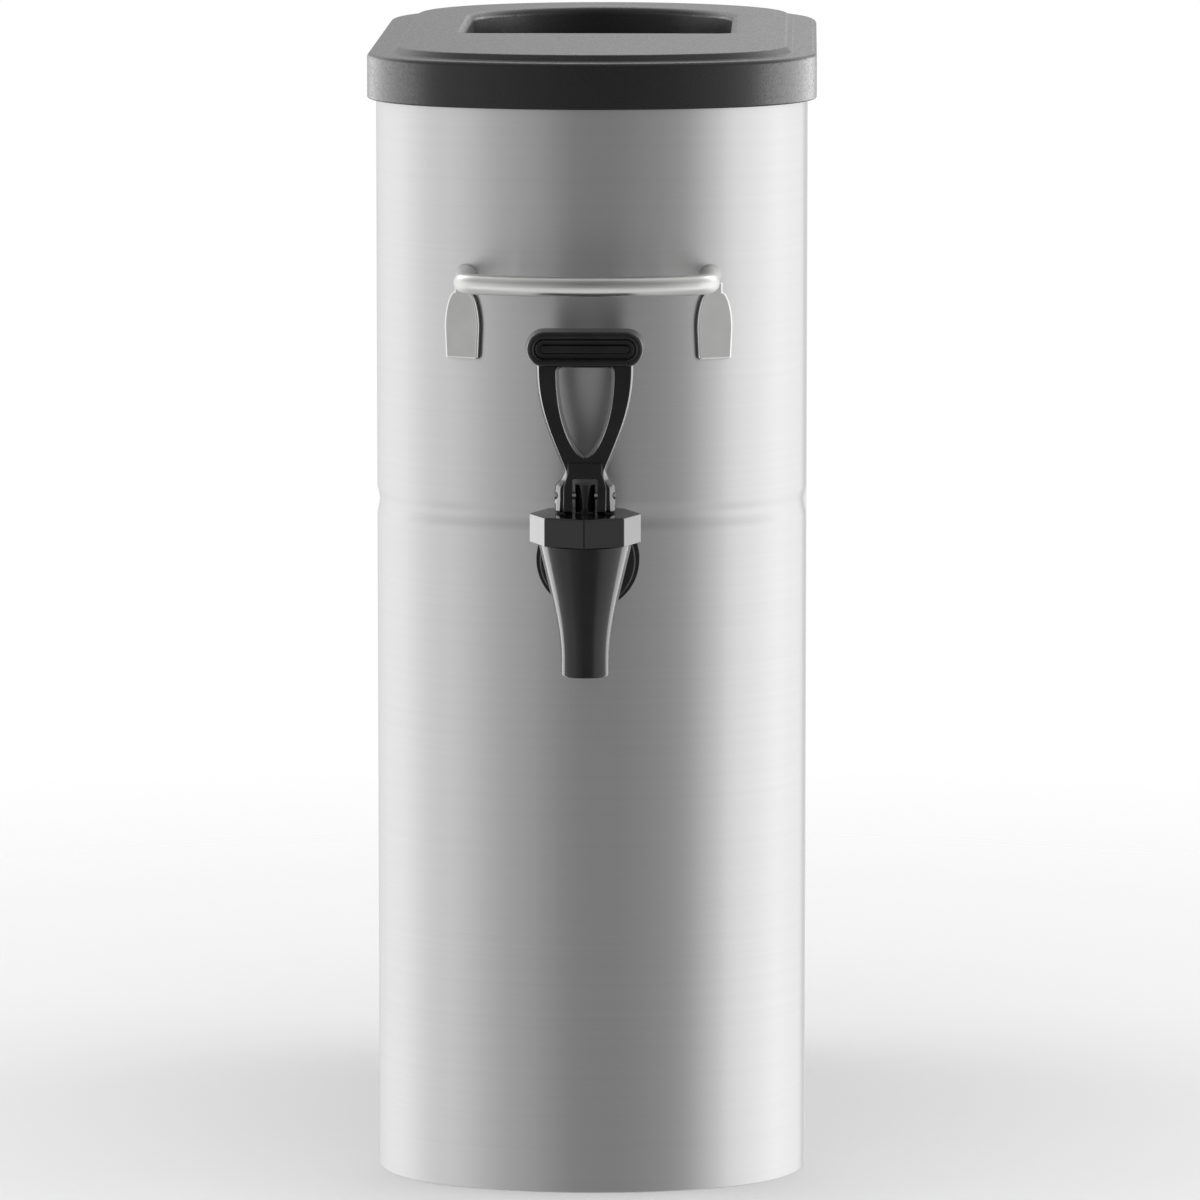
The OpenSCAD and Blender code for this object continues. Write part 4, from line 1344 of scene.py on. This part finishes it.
    def window_outline(self, lever):
        """Outline of the open window between the arms."""
        half = lever.window_w / 2
        corner = self.window_r
        top = lever.arm_h
        tip = (self.window_tip, lever.window_foot)
        edge = bezier((half, top - corner), (half, top * 0.68), (lever.window_w * 0.34, top * 0.42), tip)
        corner_points = fillet([(0, top, 0), (half, top, corner), (half, top - 2 * corner, 0)], closed=False)
        side = corner_points[1:-1] + edge[1:] + [Vector(tip)]
        return side + mirrored(side)

    def hub_side(self, lever):
        """Side view of the hub: a back and a top over a cam foot that supports the lever as it tilts."""
        reach = lever.arm_t / 2 + self.hub_past
        lift = max(joint_of("stem_lift")["range_m"])
        swing = math.radians(max(joint_of("lever_tilt")["range_deg"]))
        foot = PIN_Z - LEVER_LOW.z
        rate = lift / swing
        cam = []
        for k in range(CURVE_STEPS + 1):
            share = 1 - k / CURVE_STEPS
            far = foot + lift * share
            tilt = swing * share
            cam.append(Vector((-far * math.sin(tilt) - rate * math.cos(tilt),
                               rate * math.sin(tilt) - far * math.cos(tilt))))
        foot_r, back_r, front_r = self.hub_radii
        rest = fillet([(*cam[-1], 0), (reach, -foot, foot_r), (reach, lever.hub_h, back_r),
                       (-reach, lever.hub_h, front_r), (*cam[0], 0)], closed=False)
        return cam + rest[1:-1]

    def taper_ears(self, bm, lever, axis_y):
        """Narrows the ears towards their front, so that their sides face partly forwards."""
        deep = lever.arm_t / 2
        for vert in bm.verts:
            ahead = axis_y - vert.co.y
            share = (PIN_Z + lever.neck_h - vert.co.z) / (lever.neck_h - lever.hub_h)
            past_bevel = (ahead - deep + lever.arm_bevel_deep) / lever.arm_bevel_deep
            moved = lever.hub_draft * max(0, ahead) / deep - lever.arm_bevel * max(0, past_bevel)
            vert.co.x -= math.copysign(moved * min(1, max(0, share)), vert.co.x)

    def grip(self, bm, lever, facing):
        """Stadium bar with rounded rims, a dished face and a rib along its middle."""
        back = -lever.grip_t / 2
        front = lever.grip_t / 2
        rim = lever.grip_rim
        dish = lever.grip_dish
        rib_half = (lever.grip_h - 2 * rim) / 6
        rib_inset = lever.grip_h / 2 - rib_half
        middle = lever.arm_h + lever.grip_h / 2
        back_r, front_r, lip_r, foot_r, rib_r = self.grip_radii
        section = fillet([
            (self.back_inset, back, 0), (0, back, back_r), (self.side_lean, front, front_r),
            (rim - self.slope_start, front, lip_r), (rim + self.slope_end, front - dish, foot_r),
            (rib_inset - self.rib_slope, front - dish, rib_r), (rib_inset, front - dish / 2, rib_r),
            (rib_inset + self.rib_flat, front - dish / 2, 0)], closed=False)
        loops = []
        for inset, depth in section:
            r = lever.grip_h / 2 - inset
            ahead = (min(depth, front - dish) - back) / (front - dish - back)
            x = lever.grip_w / 2 - lever.grip_h / 2 - lever.grip_end * ahead
            points = []
            for cx, start in ((x, -90), (-x, 90)):
                for k in range(self.end_steps + 1):
                    a = math.radians(start + 180 * k / self.end_steps)
                    points.append(facing(Vector((cx + r * math.cos(a), middle + r * math.sin(a), depth))))
            loops.append(points)
        tube_between(bm, loops)


class DISPENSER_OT_valve(bpy.types.Operator):
    """Build the valve spring and finish the stem, pin, seals and clamped pieces"""

    bl_idname = "dispenser.valve"
    bl_label = "Build valve"

    # Turns of the spring, steps of each turn, and the radius and sides of its wire
    coils = 6
    coil_steps = 30
    wire_r = 0.6 * MM
    wire_sides = 12

    def execute(self, context):
        made = finishes()
        dressed = {
            "glossy_tap_plastic": ("valve_stem", "shank_nut"),
            "satin_rod_steel": ("lever_pin",),
            "brushed_sheet_steel": ("clamp_washer",),
            "milky_silicone": ("seat_cup", "inner_gasket", "bonnet_seal"),
        }
        for finish, nodes in dressed.items():
            for node in nodes:
                dress_node(node, made[finish])
        self.spring(made["satin_rod_steel"])
        return {"FINISHED"}

    def spring(self, steel):
        """Coil of round wire."""
        wire = self.wire_r
        coil_r = (SPRING_HIGH.x - SPRING_LOW.x) / 2 - wire
        centre = (SPRING_LOW + SPRING_HIGH) / 2
        low = SPRING_LOW.z + wire
        high = SPRING_HIGH.z - wire
        rings = self.coil_steps * self.coils
        ring = full_turn(self.wire_sides)
        loops = []
        for i in range(rings + 1):
            a = 2 * math.pi * self.coils * i / rings
            out = Vector((math.cos(a), math.sin(a), 0))
            at = Vector((centre.x, centre.y, low + (high - low) * i / rings)) + out * coil_r
            loops.append([at + out * (wire * math.cos(b)) + Vector((0, 0, wire * math.sin(b))) for b in ring])
        coil = solid("spring_coil", tube_between, loops)
        finish_piece(coil, "valve_spring", steel, flat_faces=False)
        travel = max(joint_of("stem_lift")["range_m"])
        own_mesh(coil)


class DISPENSER_OT_stage(bpy.types.Operator):
    """Set up the floor, the soft lamps, the studio surround and the camera"""

    bl_idname = "dispenser.stage"
    bl_label = "Set up stage"

    # Brightness of the surround by direction round the object: 0 is the camera's side, 90 the right
    surround = (
        (-180, 0.48), (-160, 0.68), (-134, 0.84), (-110, 0.87), (-92, 0.78), (-75, 0.67), (-50, 0.64),
        (-42, 0.52), (-34, 0.40), (-25, 0.365), (-15, 0.28), (-8, 0.25), (20, 0.24), (33, 0.29), (39, 0.42),
        (48, 0.69), (62, 0.82), (105, 1.0), (130, 0.90), (148, 0.85), (160, 0.45), (180, 0.48),
    )
    surround_gain = 1.3
    # Share of light lost high above and far below the middle, the sine of elevation of that middle,
    # and the distances from it where the loss starts and is full
    height_loss = 0.45
    height_middle = -0.12
    height_range = (0.22, 0.75)
    # Share of light lost in the gap where the camera stands, the angles where the gap starts on the left and
    # ends on the right, and the sines of elevation where it starts and is full
    gap_loss = 0.3
    gap_left = (math.radians(-12.5), math.radians(-9.5))
    gap_right = (math.radians(8), math.radians(20))
    gap_rise = (-0.22, -0.04)
    # Level of the bright floor seen far below the horizon, and the sines where it starts and is full
    floor_level = 0.55
    floor_range = (0.45, 0.95)
    # Level of the card high behind the object, the angles from the camera's side where it starts and is full,
    # and the sines of elevation where it starts, is full, starts to fade and ends
    card_level = 1.2
    card_turn = (math.radians(100), math.radians(140))
    card_rise = (0.20, 0.45)
    card_fade = (0.70, 0.95)
    # Lamps: place, the point that it faces and its size; the place's x is for the right side of a pair
    side_lamp = ((2.0, 0.35, 1.0), (0, 0, 0.25), (1.9, 2.2))
    top_lamp = ((0, -0.2, 2.3), (0, 0, 0.2), (1.8, 1.8))
    lid_rim = ((1.33, 0.5, 0.42), (0, -0.18, 0.42), (2.2, 0.78))
    tap_rim = ((0.92, 0.97, -0.2), (0, -0.18, -0.2), (1.75, 2.0))
    rod_strip = ((0, 1.1, 0.02), (0, 1.1, 1), (1.6, 1.4))
    # Power of the right rim lamps as a share of the left ones
    lid_right_share = 1.45
    tap_right_share = 0.85
    # Sides and roughness of the round floor, and how far the camera sees
    floor_sides = 96
    floor_roughness = 0.9
    far_clip = 100
    lid_pieces = ("moulded_lid",)
    tap_pieces = ("tap_cone", "octagon_bonnet", "tap_lever_arms", "outer_gasket", "valve_stem")

    def execute(self, context):
        stage = context.scene.dispenser_stage
        self.floor(stage, tuple(context.scene.dispenser_finishes.floor))
        self.world(context.scene, stage)
        for label, side in (("left", -1), ("right", 1)):
            self.lamp(f"{label}_lamp", self.side_lamp, stage.side_power, side)
        self.lamp("top_lamp", self.top_lamp, stage.top_power)
        self.rim_lamps("lid", self.lid_pieces, self.lid_rim, stage.lid_rim_power, self.lid_right_share)
        self.rim_lamps("tap", self.tap_pieces, self.tap_rim, stage.tap_rim_power, self.tap_right_share)
        self.rod_fill(stage)
        self.camera(context.scene, stage)
        context.scene.view_settings.view_transform = "Standard"
        return {"FINISHED"}

    def disc(self, bm, radius):
        """One round face."""
        turns = full_turn(self.floor_sides)
        bm.faces.new(loop_of(bm, [Vector((radius * math.cos(a), radius * math.sin(a), 0)) for a in turns]))

    def floor(self, stage, tint):
        """Round pale floor that fades out into the white surround."""
        disc = solid("studio_floor", self.disc, stage.floor_r)
        material = bpy.data.materials.new("studio_floor")
        material.use_nodes = True
        tree = material.node_tree
        shader = tree.nodes["Principled BSDF"]
        shader.inputs["Base Color"].default_value = (*tint, 1)
        shader.inputs["Roughness"].default_value = self.floor_roughness
        place = tree.nodes.new("ShaderNodeTexCoord").outputs["Object"]
        away = tree.nodes.new("ShaderNodeVectorMath")
        away.operation = "LENGTH"
        tree.links.new(place, away.inputs[0])
        fade = map_range(tree, away.outputs["Value"], stage.floor_fade, stage.floor_r, 0, 1, True)
        rays = tree.nodes.new("ShaderNodeLightPath").outputs
        fade = math_node(tree, "MAXIMUM", fade, rays["Is Glossy Ray"])
        clear = tree.nodes.new("ShaderNodeBsdfTransparent")
        mix = tree.nodes.new("ShaderNodeMixShader")
        tree.links.new(fade, mix.inputs["Fac"])
        tree.links.new(shader.outputs["BSDF"], mix.inputs[1])
        tree.links.new(clear.outputs["BSDF"], mix.inputs[2])
        tree.links.new(mix.outputs["Shader"], tree.nodes["Material Output"].inputs["Surface"])
        disc.data.materials.append(material)

    def world(self, scene, stage):
        """White surround for the camera, and a softly graded one for reflections."""
        world = bpy.data.worlds.new("studio_surround")
        world.use_nodes = True
        scene.world = world
        tree = world.node_tree
        background = tree.nodes["Background"]
        split = tree.nodes.new("ShaderNodeSeparateXYZ")
        tree.links.new(tree.nodes.new("ShaderNodeTexCoord").outputs["Generated"], split.inputs[0])
        front = math_node(tree, "MULTIPLY", split.outputs["Y"], -1.0)
        angle = math_node(tree, "ARCTAN2", split.outputs["X"], front)
        turn = map_range(tree, angle, -math.pi, math.pi, 0, 1)
        ramp = tree.nodes.new("ShaderNodeValToRGB")
        tree.links.new(turn, ramp.inputs["Fac"])
        stops = ramp.color_ramp.elements
        for index, (degrees, level) in enumerate(self.surround):
            at = (degrees + 180) / 360
            stop = stops[0] if index == 0 else stops.new(at)
            stop.position = at
            stop.color = (level, level, level, 1)
        stops.remove(stops[-1])
        rays = tree.nodes.new("ShaderNodeLightPath").outputs
        mirrored_rays = math_node(tree, "MAXIMUM", rays["Is Glossy Ray"], rays["Is Transmission Ray"])
        shown = math_node(tree, "MAXIMUM", rays["Is Camera Ray"], mirrored_rays)
        height = split.outputs["Z"]
        level = math_node(tree, "MULTIPLY", ramp.outputs["Color"], self.falloff(tree, angle, height))
        level = math_node(tree, "ADD", level, self.rear_card(tree, angle, height))
        level = self.with_floor(tree, level, height)
        graded = mix_colours(tree, rays["Is Camera Ray"], level, (1, 1, 1, 1))
        ambient = (stage.ambient, stage.ambient, stage.ambient, 1)
        tree.links.new(mix_colours(tree, shown, ambient, graded), background.inputs["Color"])
        background.inputs["Strength"].default_value = 1.0

    def falloff(self, tree, angle, height):
        """Gain of the surround: less light high up and far below, and in the gap where the camera stands."""
        away = math_node(tree, "ABSOLUTE", math_node(tree, "SUBTRACT", height, self.height_middle))
        lost = map_range(tree, away, *self.height_range, 0, self.height_loss, True)
        left = map_range(tree, angle, *self.gap_left, 0, 1, True)
        right = map_range(tree, angle, *self.gap_right, 1, 0, True)
        high = map_range(tree, height, *self.gap_rise, 0, self.gap_loss, True)
        gap = math_node(tree, "MULTIPLY", math_node(tree, "MULTIPLY", left, right), high)
        kept_high = math_node(tree, "SUBTRACT", 1, lost)
        kept = math_node(tree, "MULTIPLY", kept_high, math_node(tree, "SUBTRACT", 1, gap))
        return math_node(tree, "MULTIPLY", kept, self.surround_gain)

    def rear_card(self, tree, angle, height):
        """Light of the card high behind the object, which grazing surfaces show."""
        away = math_node(tree, "ABSOLUTE", angle)
        behind = map_range(tree, away, *self.card_turn, 0, self.card_level, True)
        rise = map_range(tree, height, *self.card_rise, 0, 1, True)
        fade = map_range(tree, height, *self.card_fade, 1, 0, True)
        return math_node(tree, "MULTIPLY", behind, math_node(tree, "MULTIPLY", rise, fade))

    def with_floor(self, tree, level, height):
        """Fades the surround into an evenly bright floor far below the horizon."""
        below = math_node(tree, "MULTIPLY", height, -1)
        share = map_range(tree, below, *self.floor_range, 0, 1, True)
        bright = (self.floor_level, self.floor_level, self.floor_level, 1)
        return mix_colours(tree, share, level, bright)

    def lamp(self, name, setting, power, side=1):
        """A large soft lamp that faces a point."""
        (x, y, z), target, size = setting
        light = bpy.data.lights.new(name, "AREA")
        light.shape = "RECTANGLE"
        light.size, light.size_y = size
        light.energy = power
        made = bpy.data.objects.new(name, light)
        bpy.context.scene.collection.objects.link(made)
        made.location = (side * x, y, z)
        made.rotation_euler = (Vector(target) - made.location).to_track_quat("-Z", "Y").to_euler()
        made.visible_camera = False
        made.visible_glossy = False
        return made

    def rim_lamps(self, label, names, setting, power, right_share):
        """Low lamps behind both sides that pick out the edges of some black pieces and light nothing else."""
        black = self.receivers(f"black_{label}_pieces", names)
        for side_label, side, share in (("left", -1, 1), ("right", 1, right_share)):
            lamp = self.lamp(f"{label}_rim_{side_label}", setting, power * share, side)
            lamp.visible_glossy = True
            lamp.light_linking.receiver_collection = black
            lamp.light_linking.blocker_collection = black

    def rod_fill(self, stage):
        """Strips that lie in front and behind, and brighten the undersides of the rods."""
        (x, y, z), (target_x, target_y, target_z), size = self.rod_strip
        for label, end in (("front", -1), ("rear", 1)):
            setting = ((x, end * y, z), (target_x, end * target_y, target_z), size)
            lamp = self.lamp(f"{label}_strip", setting, stage.rod_fill_power)
            lamp.visible_glossy = True
            lamp.light_linking.receiver_collection = self.receivers(f"{label}_rods", [f"{label}_rod"])

    def receivers(self, label, names):
        """A collection of the pieces that a lamp lights."""
        made = bpy.data.collections.new(label)
        for name in names:
            made.objects.link(bpy.data.objects[name])
        return made

    def camera(self, scene, stage):
        """The camera at the photograph's angle."""
        camera = bpy.data.objects.new("camera", bpy.data.cameras.new("camera"))
        scene.collection.objects.link(camera)
        camera.data.lens = stage.lens
        camera.data.clip_end = self.far_clip
        camera.location = stage.camera_at
        camera.rotation_euler = (math.pi / 2 - stage.camera_pitch, 0, stage.camera_yaw)
        scene.camera = camera


class DISPENSER_PT_sidebar(bpy.types.Panel):
    """Lists the steps that build the dispenser"""

    bl_label = "Dispenser"
    bl_space_type = "VIEW_3D"
    bl_region_type = "UI"
    bl_category = "Dispenser"

    def draw(self, context):
        for operator in OPERATORS:
            self.layout.operator(operator.bl_idname)


GROUPS = {
    "dispenser_body": BodySizes,
    "dispenser_lid": LidSizes,
    "dispenser_handles": HandleSizes,
    "dispenser_tap": TapSizes,
    "dispenser_lever": LeverSizes,
    "dispenser_finishes": Finishes,
    "dispenser_stage": StageSizes,
}
OPERATORS = (
    DISPENSER_OT_finishes, DISPENSER_OT_body, DISPENSER_OT_lid, DISPENSER_OT_handles, DISPENSER_OT_tap_body,
    DISPENSER_OT_bonnet, DISPENSER_OT_lever, DISPENSER_OT_valve, DISPENSER_OT_stage,
)


def register():
    for group in GROUPS.values():
        bpy.utils.register_class(group)
    for name, group in GROUPS.items():
        setattr(bpy.types.Scene, name, PointerProperty(type=group))
    for operator in OPERATORS:
        bpy.utils.register_class(operator)
    bpy.utils.register_class(DISPENSER_PT_sidebar)


def unregister():
    bpy.utils.unregister_class(DISPENSER_PT_sidebar)
    for operator in reversed(OPERATORS):
        bpy.utils.unregister_class(operator)
    for name in GROUPS:
        delattr(bpy.types.Scene, name)
    for group in reversed(GROUPS.values()):
        bpy.utils.unregister_class(group)


def main():
    """Builds every piece and the stage."""
    register()
    for operator in OPERATORS:
        group, name = operator.bl_idname.split(".")
        getattr(getattr(bpy.ops, group), name)()


if __name__ == "__main__":
    main()
